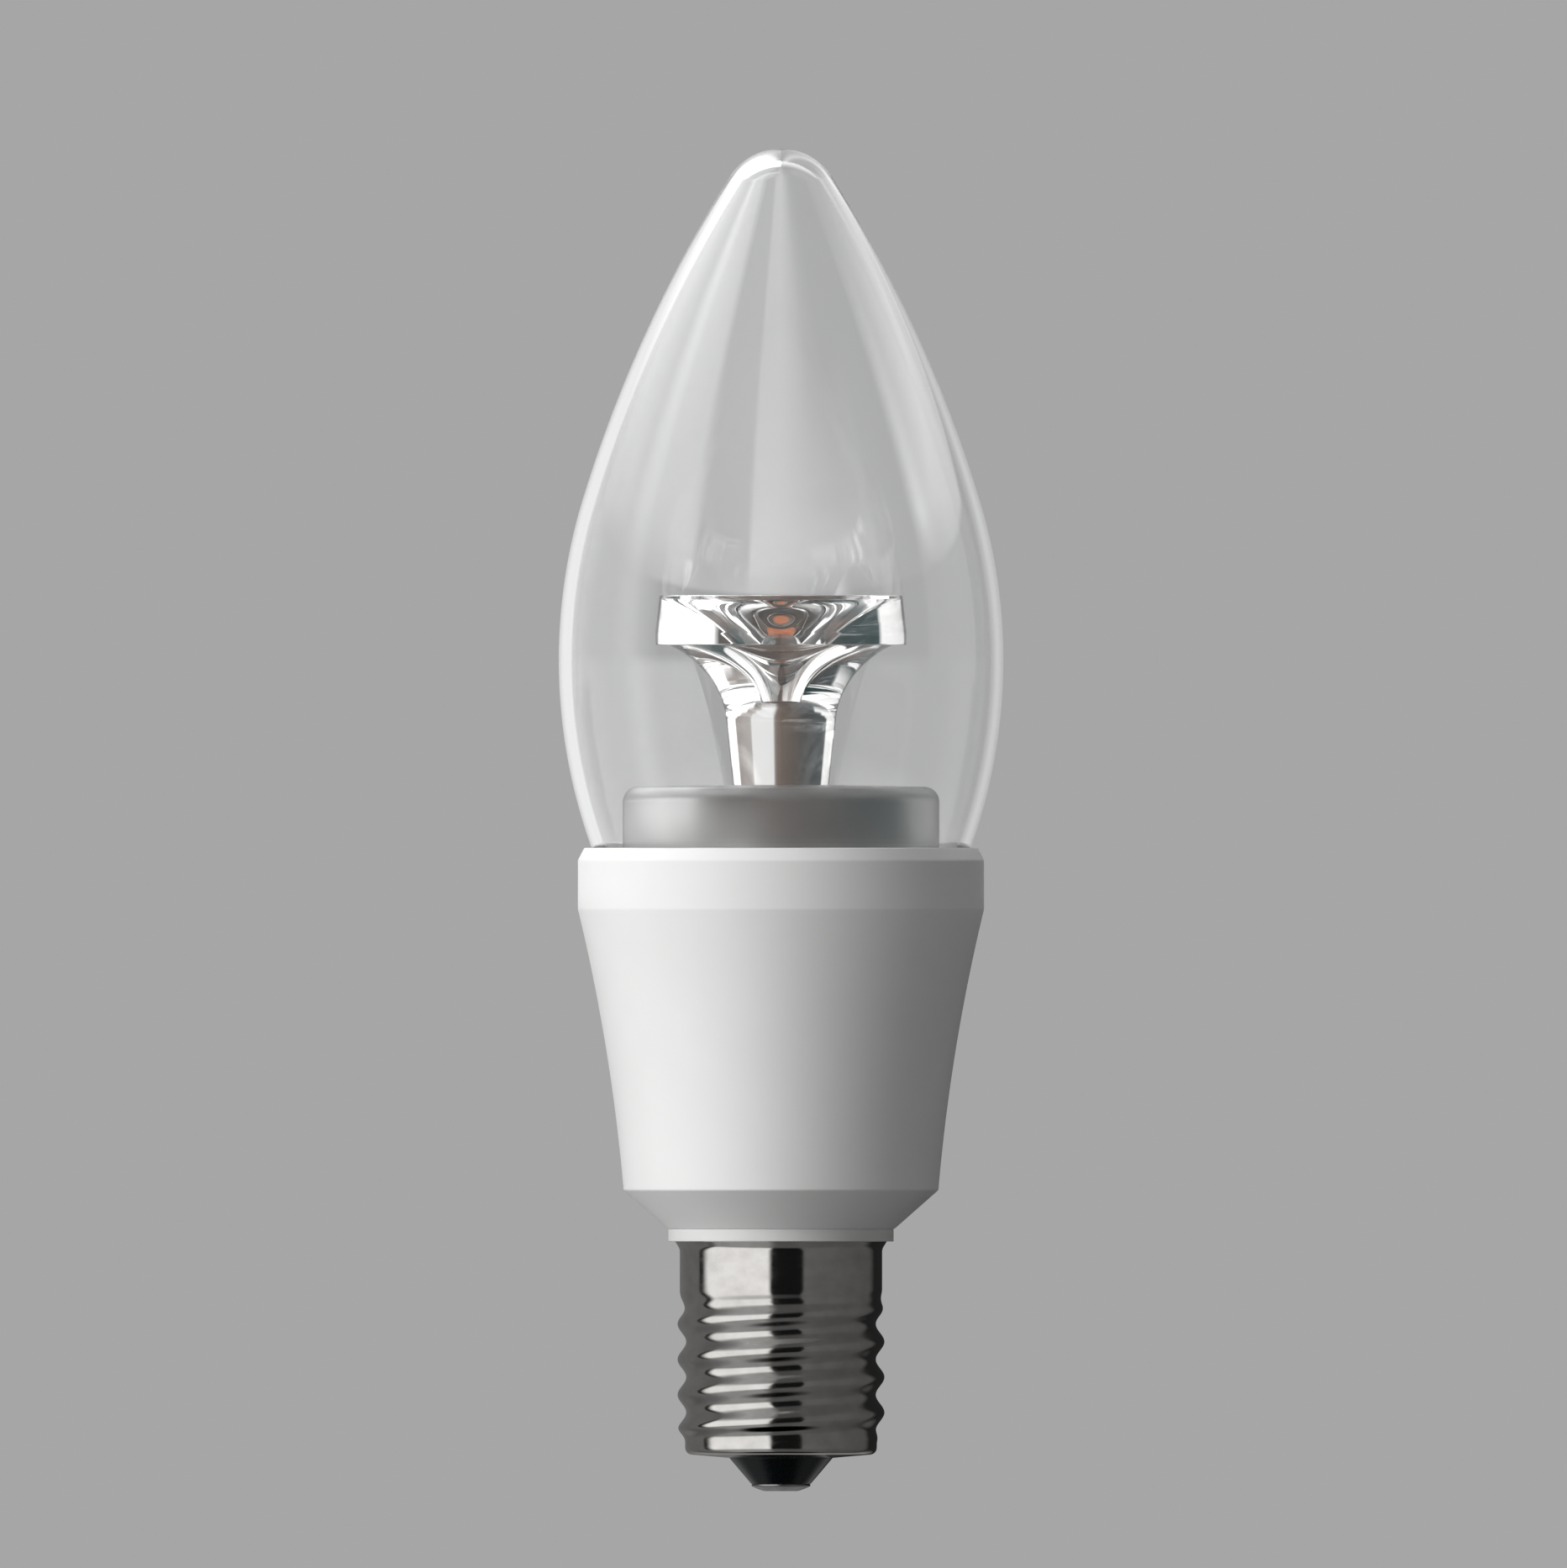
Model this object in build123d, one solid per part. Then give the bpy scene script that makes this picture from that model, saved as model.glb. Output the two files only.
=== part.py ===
"""Clear candle lamp with a light-emitting diode, a light guide and a 17 mm Edison screw cap.

The lamp stands on its own axis, +Z, with the origin at the middle of the centre contact's lowest face.
Every round piece is a section (radius, height) turned about that axis. Millimetres throughout.
"""

import os
from math import acos, cos, pi, radians, sin, sqrt, tan

from build123d import *

# Screw cap
contact_radius = 2.35
contact_height = 0.55
contact_flat_radius = 1.3
contact_dome_height = 0.4
contact_dome_curve = 4.7
contact_stem_radius = 0.9
contact_stem_height = 1.7
insulator_cone_height = 2.1
insulator_flange_height = 1.6
shell_wall = 0.3
shell_mouth_radius = 4.18
shell_heel_radius = 7.65
shell_heel_rise = 0.3
shell_heel_fillet = 0.65
shell_heel_height = 1.1
thread_crest_radius = 8.25
thread_root_radius = 7.565
thread_pitch = 2.822
thread_zone = 12.35
thread_heel_ramp = 1.5
thread_skirt_ramp = 1.2
thread_fade = 2.4
thread_start_angle = 38.7
thread_sections_per_turn = 8
skirt_radius = 8.07
skirt_height = 3.2
lip_radius = 8.44
lip_height = 0.6

# Insulating ring and heat sink
ring_radius = 8.98
ring_height = 1.0
sink_foot_radius = 9.04
sink_chamfer_height = 3.1
sink_waist_radius = 12.55
sink_taper_height = 22.4
sink_taper_curve = 150.0
sink_band_wall = 0.99
sink_band_height = 3.9
sink_rim_chamfer_height = 1.0
sink_rim_land = 0.48
sink_wall = 1.75
sink_floor_thickness = 3.7
sink_ledge_width = 1.2

# Globe
globe_diameter = 35.44
globe_belly_height = 14.95
globe_belly_curve = 44.0
globe_belly_angle = 17.0
globe_flank_curve = 108.0
globe_tip_curve = 4.83
globe_wall = 1.0
globe_neck_step = 0.5
globe_neck_curve = 3.0
sealant_height = 1.3

# Plate, board and light source under the globe
plate_drop = 3.3
plate_thickness = 2.0
pad_thickness = 0.2
pad_margin = 0.3
board_thickness = 1.0
board_margin = 1.7
carrier_size = 5.6
carrier_height = 0.5
carrier_corner = 0.4
dam_wall = 0.5
phosphor_radius = 2.0
phosphor_height = 0.45
screw_radius = 1.0
screw_length = 2.6
screw_head_radius = 1.8
screw_head_height = 1.3
screw_head_fillet = 0.4
screw_margin = 0.35
screw_slot_width = 0.5
screw_slot_depth = 0.6

# Cover and light guide
cover_margin = 0.97
cover_height = 8.35
cover_wall = 1.4
cover_roof_gap = 0.65
cover_edge_fillet = 1.2
cover_crown = 0.15
guide_foot_gap = 0.35
guide_stem_radius = 3.83
guide_draft = 6.13
guide_stem_height = 5.1
guide_throat_height = 2.1
guide_throat_step = 0.55
guide_throat_curve = 5.5
guide_flare_height = 3.92
guide_flare_curve = 8.12
guide_shelf = 1.02
guide_head_radius = 10.02
guide_band_height = 0.95
guide_rim_height = 2.97
guide_rim_step = 0.33
funnel_rim_radius = 7.2
funnel_lip_height = 0.47
funnel_tip_radius = 1.05
funnel_depth = 8.0
funnel_curve = 9.0

# Driver case and lid
case_wall = 1.0
case_floor_thickness = 1.2
case_neck_wall = 0.9
case_neck_lift = 1.2
rail_width = 0.9
rail_reach = 1.0
rail_height = 14.0
lid_thickness = 1.0

# Driver board and what it carries
driver_thickness = 1.0
driver_top_gap = 1.0
driver_side_gap = 0.3
tongue_length = 15.5
tongue_margin = 1.0
notch_height = 2.0
notch_offset = 3.0
part_gap = 1.2
front_foot = 2.0
back_foot = 3.0
bulk_radius = 3.15
bulk_height = 11.0
output_radius = 2.5
output_height = 5.4
can_top_fillet = 0.35
can_groove_height = 1.2
can_groove_depth = 0.2
leg_radius = 0.3
leg_length = 1.2
core_width = 6.4
core_depth = 5.0
core_height = 7.5
core_yoke = 1.4
core_limb_radius = 0.8
cheek_thickness = 0.5
cheek_step = 0.4
film_width = 6.0
film_depth = 3.0
film_height = 6.0
film_fillet = 0.8
fuse_radius = 1.2
fuse_height = 6.5
fuse_cap_height = 1.1
fuse_cap_step = 0.2
rectifier_width = 4.2
rectifier_height = 3.9
rectifier_depth = 1.5
chip_width = 3.9
chip_height = 4.9
chip_depth = 1.4
diode_width = 2.6
diode_height = 4.3
diode_depth = 2.1
package_lift = 0.15
package_chamfer = 0.25
package_leg_reach = 0.7
package_leg_width = 0.5
column_inner = 2.2
chip_part_width = 1.25
chip_part_height = 2.0
chip_part_depth = 0.6
chip_part_rows = 4

# Leads
lead_radius = 0.45
lead_offset = 6.6
lead_length_on_board = 1.8
lead_bend_radius = 1.35
solder_radius = 0.75
solder_height = 0.45

# Clearances
fit_gap = 0.05
globe_gap = 0.1
loose_gap = 0.25

# Heights of the stack, from the centre contact up
insulator_z = contact_height
shell_z = insulator_z + insulator_cone_height
thread_z = shell_z + shell_heel_height
skirt_z = thread_z + thread_zone
flare_z = skirt_z + skirt_height
ring_z = flare_z + lip_height
sink_z = ring_z + ring_height
waist_z = sink_z + sink_chamfer_height
band_z = waist_z + sink_taper_height
rim_chamfer_z = band_z + sink_band_height
rim_z = rim_chamfer_z + sink_rim_chamfer_height
plate_top_z = rim_z - plate_drop
ledge_z = plate_top_z - plate_thickness
pad_top_z = plate_top_z + pad_thickness
board_top_z = pad_top_z + board_thickness
carrier_top_z = board_top_z + carrier_height
phosphor_top_z = carrier_top_z + phosphor_height
cover_top_z = plate_top_z + cover_height
belly_z = rim_z + globe_belly_height
sink_floor_z = sink_z + sink_floor_thickness
lid_z = ledge_z - lid_thickness
driver_foot_z = sink_floor_z + case_floor_thickness
driver_top_z = lid_z - driver_top_gap
tongue_z = driver_foot_z - tongue_length
lip_slope = shell_heel_rise / (shell_heel_radius - shell_mouth_radius)
lip_thickness = shell_wall * sqrt(1 + lip_slope**2)
insulator_top_z = shell_z + shell_heel_rise + lip_thickness + insulator_flange_height
neck_foot_z = insulator_top_z + case_neck_lift

# Radii that follow from the fits
belly_radius = globe_diameter / 2
globe_rim_radius = belly_radius - globe_belly_curve + sqrt(globe_belly_curve**2 - globe_belly_height**2)
globe_neck_radius = globe_rim_radius - globe_neck_step
pocket_radius = globe_rim_radius + globe_gap
sink_rim_radius = pocket_radius + sink_rim_land
sink_band_radius = pocket_radius + sink_band_wall
ledge_radius = pocket_radius - sink_ledge_width
sink_floor_radius = sink_waist_radius - sink_wall
case_neck_radius = thread_root_radius - shell_wall - fit_gap
case_neck_bore = case_neck_radius - case_neck_wall
neck_hole_radius = case_neck_radius + loose_gap
cover_radius = globe_neck_radius - globe_wall - cover_margin
board_radius = cover_radius - cover_wall - board_margin
pad_radius = board_radius - pad_margin
board_face = driver_thickness / 2
tongue_half_width = sqrt(case_neck_bore**2 - board_face**2) - tongue_margin

# Places of the paired holes, (x, y)
screw_offset = board_radius - screw_head_radius - screw_margin
screw_places = [(0, -screw_offset), (0, screw_offset)]
lead_axis = board_face + lead_radius
lead_places = [(-lead_offset, lead_axis), (lead_offset, lead_axis)]


def turned(edges):
    """Turns a closed section of (radius, height) edges about the lamp's axis."""
    return revolve(Plane.XZ * make_face(edges), axis=Axis.Z)


def turned_polygon(*points):
    """Turns a closed polygon of (radius, height) points about the lamp's axis."""
    return turned(Polyline(*points, close=True))


def arc_about(centre, radius, start, end):
    """Arc of a section about a centre, between two angles from the outward radius, in radians."""
    angles = (start, (start + end) / 2, end)
    return ThreePointArc(*[(centre[0] + radius * cos(a), centre[1] + radius * sin(a)) for a in angles])


def block(x, y, z):
    """Box between two limits along each axis, given in either order."""
    limits = [sorted(pair) for pair in (x, y, z)]
    size = [high - low for low, high in limits]
    return Pos(*[low for low, _ in limits]) * Box(*size, align=Align.MIN)


def rod(x, y, radius, z):
    """Upright cylinder between two heights."""
    return Pos(x, y, z[0]) * Cylinder(radius, z[1] - z[0], align=(Align.CENTER, Align.CENTER, Align.MIN))


def rods(places, radius, z):
    """Upright cylinders of one size at several places."""
    return [rod(x, y, radius, z) for x, y in places]


def smooth_step(share):
    """Rises from 0 to 1 with level ends."""
    share = min(max(share, 0.0), 1.0)
    return share * share * (3 - 2 * share)


def sink_bore_at(z):
    """Radius of the heat sink's tapered bore at a height."""
    share = (z - sink_floor_z) / (ledge_z - sink_floor_z)
    return sink_floor_radius + (ledge_radius - sink_floor_radius) * share


def case_bore_at(z):
    """Radius of the driver case's tapered cavity at a height."""
    return sink_bore_at(z) - loose_gap - case_wall


def guide_stem_at(z):
    """Radius of the light guide's tapered stem at a height."""
    return guide_stem_radius + (z - cover_top_z) * tan(radians(guide_draft))


# Screw cap


def centre_contact():
    """Contact disc with a flattened dome below and a hollow stem that takes the live lead."""
    dome_edge = (contact_radius, contact_dome_height)
    section = Line((0, 0), (contact_flat_radius, 0))
    section += RadiusArc((contact_flat_radius, 0), dome_edge, -contact_dome_curve)
    section += Polyline(dome_edge, (contact_radius, contact_height), (0, contact_height), (0, 0))
    stem = (contact_height, contact_height + contact_stem_height)
    return turned(section) + rod(0, 0, contact_stem_radius, stem) - rod(0, 0, lead_radius + fit_gap, stem)


def cap_insulator():
    """Dark insulator: a cone below the shell and a flange that lies on the shell's turned-in lip."""
    bore = contact_stem_radius + fit_gap
    neck_radius = shell_mouth_radius - fit_gap
    flange_radius = shell_heel_radius - shell_wall - shell_heel_fillet
    seat_z = shell_z + lip_thickness
    return turned_polygon(
        (bore, insulator_z),
        (contact_radius, insulator_z),
        (neck_radius, shell_z),
        (neck_radius, seat_z),
        (flange_radius, seat_z + lip_slope * (flange_radius - shell_mouth_radius)),
        (flange_radius, insulator_top_z),
        (bore, insulator_top_z),
    )


def thread_section(z, inset):
    """Circle of the rolled thread at a height: its centre goes round the axis once in a pitch.

    Its radius runs out to the plain heel below and to the plain skirt above. Its throw runs out with it
    at the heel and fades earlier below the skirt.
    """
    foot = smooth_step((z - thread_z) / thread_heel_ramp)
    head = smooth_step((skirt_z - z) / thread_skirt_ramp)
    fade = smooth_step((skirt_z - z) / thread_fade)
    mean = (thread_crest_radius + thread_root_radius) / 2
    throw = (thread_crest_radius - thread_root_radius) / 2 * min(foot, fade)
    radius = mean + (shell_heel_radius - mean) * (1 - foot) + (skirt_radius - mean) * (1 - head)
    angle = radians(thread_start_angle) + 2 * pi * (z - thread_z) / thread_pitch
    return Pos(throw * cos(angle), throw * sin(angle), z) * Circle(radius - inset)


def thread_body(inset):
    """Loft through the thread's circles, from the heel to the plain skirt."""
    count = round(thread_sections_per_turn * thread_zone / thread_pitch)
    return loft([thread_section(thread_z + thread_zone * i / count, inset) for i in range(count + 1)])


def screw_shell():
    """Thin plated shell: turned-in lip, heel, rolled right-hand thread, plain skirt and flared top lip."""
    heel_bore = shell_heel_radius - shell_wall
    corner_z = shell_z + shell_heel_rise
    outside = FilletPolyline(
        (shell_mouth_radius, shell_z),
        (shell_heel_radius, corner_z),
        (shell_heel_radius, thread_z),
        radius=shell_heel_fillet,
    )
    inside = FilletPolyline(
        (heel_bore, thread_z),
        (heel_bore, corner_z + lip_thickness - shell_wall * lip_slope),
        (shell_mouth_radius, shell_z + lip_thickness),
        radius=shell_heel_fillet - shell_wall,
    )
    ends = [Line(outside @ 1, inside @ 0), Line(inside @ 1, outside @ 0)]
    skirt = turned_polygon(
        (skirt_radius - shell_wall, skirt_z),
        (skirt_radius, skirt_z),
        (skirt_radius, flare_z),
        (lip_radius, ring_z),
        (lip_radius - shell_wall, ring_z),
        (skirt_radius - shell_wall, flare_z),
    )
    return turned(outside + inside + ends) + (thread_body(0) - thread_body(shell_wall)) + skirt


def insulating_ring():
    """White ring that keeps the shell off the heat sink."""
    ring = rod(0, 0, ring_radius, (ring_z, sink_z))
    return ring - rod(0, 0, neck_hole_radius, (ring_z, sink_z))


# Heat sink and globe


def heat_sink():
    """White body: chamfered foot, flared taper, upright band, chamfered rim and a stepped, tapered bore."""
    waist = (sink_waist_radius, waist_z)
    band = (sink_band_radius, band_z)
    foot = (neck_hole_radius, sink_z)
    section = Polyline(foot, (sink_foot_radius, sink_z), waist)
    section += RadiusArc(waist, band, sink_taper_curve)
    section += Polyline(
        band,
        (sink_band_radius, rim_chamfer_z),
        (sink_rim_radius, rim_z),
        (pocket_radius, rim_z),
        (pocket_radius, ledge_z),
        (ledge_radius, ledge_z),
        (sink_floor_radius, sink_floor_z),
        (neck_hole_radius, sink_floor_z),
        foot,
    )
    return turned(section)


def globe_wall_arcs(inset):
    """One face of the globe's wall from its foot to its tip: straight neck, then neck, belly, flank and tip arcs.

    The arcs meet in common tangents. The tip arc's centre lies on the axis, which gives the tip's angle.
    """
    belly_angle = radians(globe_belly_angle)
    neck_angle = acos(1 - (belly_radius - globe_neck_radius) / (globe_belly_curve + globe_neck_curve))
    belly_centre = (belly_radius - globe_belly_curve, belly_z)
    flank_reach = globe_flank_curve - globe_belly_curve
    flank_centre = (
        belly_centre[0] - flank_reach * cos(belly_angle),
        belly_centre[1] - flank_reach * sin(belly_angle),
    )
    tip_reach = globe_flank_curve - globe_tip_curve
    tip_angle = acos(-flank_centre[0] / tip_reach)
    tip_centre = (0, flank_centre[1] + tip_reach * sin(tip_angle))
    neck_reach = globe_belly_curve + globe_neck_curve
    neck_centre = (globe_neck_radius + globe_neck_curve, belly_z - neck_reach * sin(neck_angle))
    neck = globe_neck_radius - inset
    return [
        Line((neck, plate_top_z), (neck, neck_centre[1])),
        arc_about(neck_centre, globe_neck_curve + inset, pi, pi - neck_angle),
        arc_about(belly_centre, globe_belly_curve - inset, -neck_angle, belly_angle),
        arc_about(flank_centre, globe_flank_curve - inset, belly_angle, tip_angle),
        arc_about(tip_centre, globe_tip_curve - inset, tip_angle, pi / 2),
    ]


def globe():
    """Clear globe with an even wall, open at its neck."""
    outside = globe_wall_arcs(0)
    inside = globe_wall_arcs(globe_wall)
    ends = [Line(inside[0] @ 0, outside[0] @ 0), Line(inside[-1] @ 1, outside[-1] @ 1)]
    return turned(Curve() + outside + inside + ends)


def globe_sealant():
    """Bead of sealant between the globe's neck and the heat sink's pocket."""
    height = (plate_top_z, plate_top_z + sealant_height)
    return rod(0, 0, pocket_radius, height) - rod(0, 0, globe_neck_radius, height)


# Plate, board and light source


def drilled_disc(radius, z, screw_gap, lead_gap):
    """Disc with holes for the two screws and for the two leads."""
    disc = rod(0, 0, radius, z) - rods(screw_places, screw_radius + screw_gap, z)
    return disc - rods(lead_places, lead_radius + lead_gap, z)


def heat_plate():
    """Disc pressed into the heat sink's pocket."""
    return drilled_disc(pocket_radius - fit_gap, (ledge_z, plate_top_z), fit_gap, loose_gap)


def thermal_pad():
    """Thin sheet between the plate and the light source's board."""
    return drilled_disc(pad_radius, (plate_top_z, pad_top_z), loose_gap, loose_gap)


def led_board():
    """Round metal-core board that carries the light source."""
    return drilled_disc(board_radius, (pad_top_z, board_top_z), loose_gap, fit_gap)


def board_screws():
    """Two slotted screws that hold the board to the plate."""
    screws = []
    top_z = board_top_z + screw_head_height
    for x, y in screw_places:
        head = rod(x, y, screw_head_radius, (board_top_z, top_z))
        head = fillet(head.edges().sort_by(Axis.Z)[-1:], screw_head_fillet)
        slot = block(
            (x - screw_head_radius, x + screw_head_radius),
            (y - screw_slot_width / 2, y + screw_slot_width / 2),
            (top_z - screw_slot_depth, top_z),
        )
        screws.append(head - slot + rod(x, y, screw_radius, (board_top_z - screw_length, board_top_z)))
    return Compound(children=screws)


def led_carrier():
    """Square ceramic carrier of the light source, with a round dam on it."""
    outline = Pos(0, 0, board_top_z) * RectangleRounded(carrier_size, carrier_size, carrier_corner)
    dam = (carrier_top_z, phosphor_top_z)
    carrier = extrude(outline, carrier_height) + rod(0, 0, phosphor_radius + dam_wall, dam)
    return carrier - rod(0, 0, phosphor_radius, dam)


def led_phosphor():
    """Round phosphor layer that fills the carrier's dam."""
    return rod(0, 0, phosphor_radius, (carrier_top_z, phosphor_top_z))


# Cover and light guide


def lens_cover():
    """Frosted block with a crowned top, a rounded edge, a tapered socket and a hollow over the board."""
    shoulder_z = cover_top_z - cover_crown
    roof_z = board_top_z + screw_head_height + cover_roof_gap
    bore_radius = cover_radius - cover_wall
    edge_radius = cover_radius - cover_edge_fillet
    edge = arc_about((edge_radius, shoulder_z - cover_edge_fillet), cover_edge_fillet, 0, pi / 2)
    rest = Polyline(
        edge @ 1,
        (guide_stem_radius + fit_gap, cover_top_z),
        (guide_stem_at(roof_z) + fit_gap, roof_z),
        (bore_radius, roof_z),
        (bore_radius, plate_top_z),
        (cover_radius, plate_top_z),
        edge @ 0,
    )
    return turned(edge + rest)


def light_guide():
    """Solid clear goblet: tapered stem, flared head and a lipped trumpet funnel that turns the light sideways."""
    foot_z = phosphor_top_z + guide_foot_gap
    stem_top_z = cover_top_z + guide_stem_height
    throat_z = stem_top_z + guide_throat_height
    head_z = throat_z + guide_flare_height
    band_top_z = head_z + guide_band_height
    rim_top_z = band_top_z + guide_rim_height
    stem_top = (guide_stem_at(stem_top_z), stem_top_z)
    throat = (stem_top[0] + guide_throat_step, throat_z)
    shelf = (guide_head_radius - guide_shelf, head_z)
    funnel_lip = (funnel_rim_radius, rim_top_z - funnel_lip_height)
    funnel_tip = (funnel_tip_radius, rim_top_z - funnel_depth)
    section = Polyline((0, foot_z), (guide_stem_at(foot_z), foot_z), stem_top)
    section += RadiusArc(stem_top, throat, guide_throat_curve)
    section += RadiusArc(throat, shelf, guide_flare_curve)
    section += Polyline(
        shelf,
        (guide_head_radius, head_z),
        (guide_head_radius, band_top_z),
        (guide_head_radius - guide_rim_step, rim_top_z),
        (funnel_rim_radius, rim_top_z),
        funnel_lip,
    )
    section += RadiusArc(funnel_lip, funnel_tip, -funnel_curve)
    section += Polyline(funnel_tip, (0, funnel_tip[1]), (0, foot_z))
    return turned(section)


# Driver case


def case_form(neck_radius, floor_z, inset):
    """Solid of the driver case's neck and cone, from the neck's foot to the lid."""
    return turned_polygon(
        (0, neck_foot_z),
        (neck_radius, neck_foot_z),
        (neck_radius, floor_z),
        (sink_bore_at(floor_z) - inset, floor_z),
        (sink_bore_at(lid_z) - inset, lid_z),
        (0, lid_z),
    )


def driver_case():
    """Insulating cup that lines the heat sink, with a neck for the shell and rails for the driver board."""
    outside = case_form(case_neck_radius, sink_floor_z, loose_gap)
    cavity = case_form(case_neck_bore, driver_foot_z, loose_gap + case_wall)
    middle = case_form(case_neck_bore, driver_foot_z, loose_gap + case_wall + rail_reach)
    slot = board_face + fit_gap
    span = (-sink_bore_at(lid_z), sink_bore_at(lid_z))
    height = (driver_foot_z, driver_foot_z + rail_height)
    case = outside - cavity
    for side in (-1, 1):
        case += block(span, (side * slot, side * (slot + rail_width)), height) & outside - middle
    return case


def case_lid():
    """Insulating disc between the driver and the heat plate, with two lead holes."""
    height = (lid_z, ledge_z)
    lid = rod(0, 0, sink_bore_at(lid_z) - loose_gap, height)
    return lid - rods(lead_places, lead_radius + loose_gap, height)


# Driver board and its components

front_z = driver_foot_z + front_foot
back_z = driver_foot_z + back_foot
bulk_x = -bulk_radius - part_gap / 2
core_x = (core_width + part_gap) / 2
output_x = output_radius + part_gap / 2


def upper_z(foot_z, lower_height, height):
    """Foot of the upper of two components: the board's spare height lies half below it and half above it."""
    return foot_z + lower_height + (driver_top_z - foot_z - lower_height - height) / 2


def driver_board():
    """Upright tapered board on the case's floor, with a notched tongue that reaches into the neck."""
    foot = case_bore_at(driver_foot_z) - driver_side_gap
    head = case_bore_at(driver_top_z) - driver_side_gap
    right_half = Polyline(
        (0, tongue_z),
        (tongue_half_width, tongue_z),
        (tongue_half_width, driver_foot_z),
        (foot, driver_foot_z),
        (head, driver_top_z),
        (0, driver_top_z),
        close=True,
    )
    face = make_face(right_half)
    face += mirror(face, Plane.YZ)
    board = extrude(Plane.XZ.offset(-board_face) * face, driver_thickness)
    notch = lead_radius + fit_gap
    for x in (0, notch_offset):
        board -= block((x - notch, x + notch), (-board_face, board_face), (tongue_z, tongue_z + notch_height))
    return board


def can_capacitor(x, radius, height, z):
    """Can with a rolled groove near its foot and two legs that bend to the board's front face."""
    y = board_face + fit_gap + radius
    body_z = z + leg_radius + leg_length
    bend_z = z + leg_radius
    can = rod(x, y, radius, (body_z, body_z + height))
    can = fillet(can.edges().sort_by(Axis.Z)[-1:], can_top_fillet)
    can -= Pos(x, y, body_z + can_groove_height) * Torus(radius + can_groove_depth, 2 * can_groove_depth)
    for leg_x in (x - radius / 2, x + radius / 2):
        can += rod(leg_x, y, leg_radius, (bend_z, body_z)) + Pos(leg_x, y, bend_z) * Sphere(leg_radius)
        can += extrude(Plane.XZ.offset(-y) * Pos(leg_x, bend_z) * Circle(leg_radius), y - board_face)
    return can


def bulk_capacitor():
    """Input smoothing capacitor on the front of the driver board."""
    return can_capacitor(bulk_x, bulk_radius, bulk_height, front_z)


def output_capacitor():
    """Output smoothing capacitor above the transformer."""
    z = upper_z(front_z, core_height, leg_radius + leg_length + output_height)
    return can_capacitor(output_x, output_radius, output_height, z)


def transformer_core():
    """Ferrite core: a closed frame with a round middle limb for the winding."""
    half = core_width / 2
    depth = (board_face, board_face + core_depth)
    frame = block((core_x - half, core_x + half), depth, (front_z, front_z + core_height))
    window = block(
        (core_x - half + core_yoke, core_x + half - core_yoke),
        depth,
        (front_z + core_yoke, front_z + core_height - core_yoke),
    )
    return frame - window + rod(core_x, sum(depth) / 2, core_limb_radius, (front_z, front_z + core_height))


def transformer_winding():
    """Copper winding on the core's middle limb, between two cheeks."""
    y = board_face + core_depth / 2
    low = front_z + core_yoke + fit_gap
    high = front_z + core_height - core_yoke - fit_gap
    reach = core_width / 2 - core_yoke - fit_gap
    coil = rod(core_x, y, reach - cheek_step, (low, high))
    coil += rod(core_x, y, reach, (low, low + cheek_thickness))
    coil += rod(core_x, y, reach, (high - cheek_thickness, high))
    return coil - rod(core_x, y, core_limb_radius + fit_gap, (low, high))


def back_package(side, width, depth, z, height, leg_rows):
    """Moulded package on the board's back, left (-1) or right (1), with flat legs along its two sides."""
    x = side * (column_inner + package_leg_reach + width / 2)
    faces = (-board_face - depth, -board_face - package_lift)
    body = block((x - width / 2, x + width / 2), faces, (z, z + height))
    body = chamfer(body.edges().group_by(Axis.Y)[0], package_chamfer)
    reach = width / 2 + package_leg_reach
    for row in range(leg_rows):
        leg_z = z + height * (row + 0.5) / leg_rows
        legs = (leg_z - package_leg_width / 2, leg_z + package_leg_width / 2)
        body += block((x - reach, x + reach), (-board_face - package_lift, -board_face), legs)
    return body


def bridge_rectifier():
    """Four-legged rectifier on the back of the driver board."""
    return back_package(-1, rectifier_width, rectifier_depth, back_z, rectifier_height, 2)


def control_chip():
    """Eight-legged control circuit on the back of the driver board."""
    return back_package(1, chip_width, chip_depth, back_z, chip_height, 4)


def output_diode():
    """Two-legged diode above the control circuit."""
    z = upper_z(back_z, chip_height, diode_height)
    return back_package(1, diode_width, diode_depth, z, diode_height, 1)


def film_capacitor():
    """Film capacitor with rounded corners, flat on the back of the driver board."""
    z = upper_z(back_z, rectifier_height, film_height)
    width = (-column_inner - film_width, -column_inner)
    body = block(width, (-board_face - film_depth, -board_face), (z, z + film_height))
    return fillet(body.edges().filter_by(Axis.Y), film_fillet)


def chip_parts():
    """Two columns of chip resistors and capacitors on the back of the driver board."""
    parts = []
    inner = part_gap / 4
    pitch = (driver_top_z - back_z) / chip_part_rows
    for side in (-1, 1):
        width = (side * inner, side * (inner + chip_part_width))
        for row in range(chip_part_rows):
            z = back_z + row * pitch
            depth = (-board_face - chip_part_depth, -board_face)
            parts.append(block(width, depth, (z, z + chip_part_height)))
    return Compound(children=parts)


def fuse_resistor():
    """Fusible resistor on the tongue's front, with an end cap at each end."""
    y = board_face + fuse_radius
    low = tongue_z + notch_height + part_gap
    high = low + fuse_height
    body = rod(0, y, fuse_radius - fuse_cap_step, (low, high))
    body += rod(0, y, fuse_radius, (low, low + fuse_cap_height))
    return body + rod(0, y, fuse_radius, (high - fuse_cap_height, high))


# Leads and solder


def led_leads():
    """Two straight leads from the driver board up through the plate to the light source's board."""
    return Compound(children=rods(lead_places, lead_radius, (driver_top_z - lead_length_on_board, board_top_z)))


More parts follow.
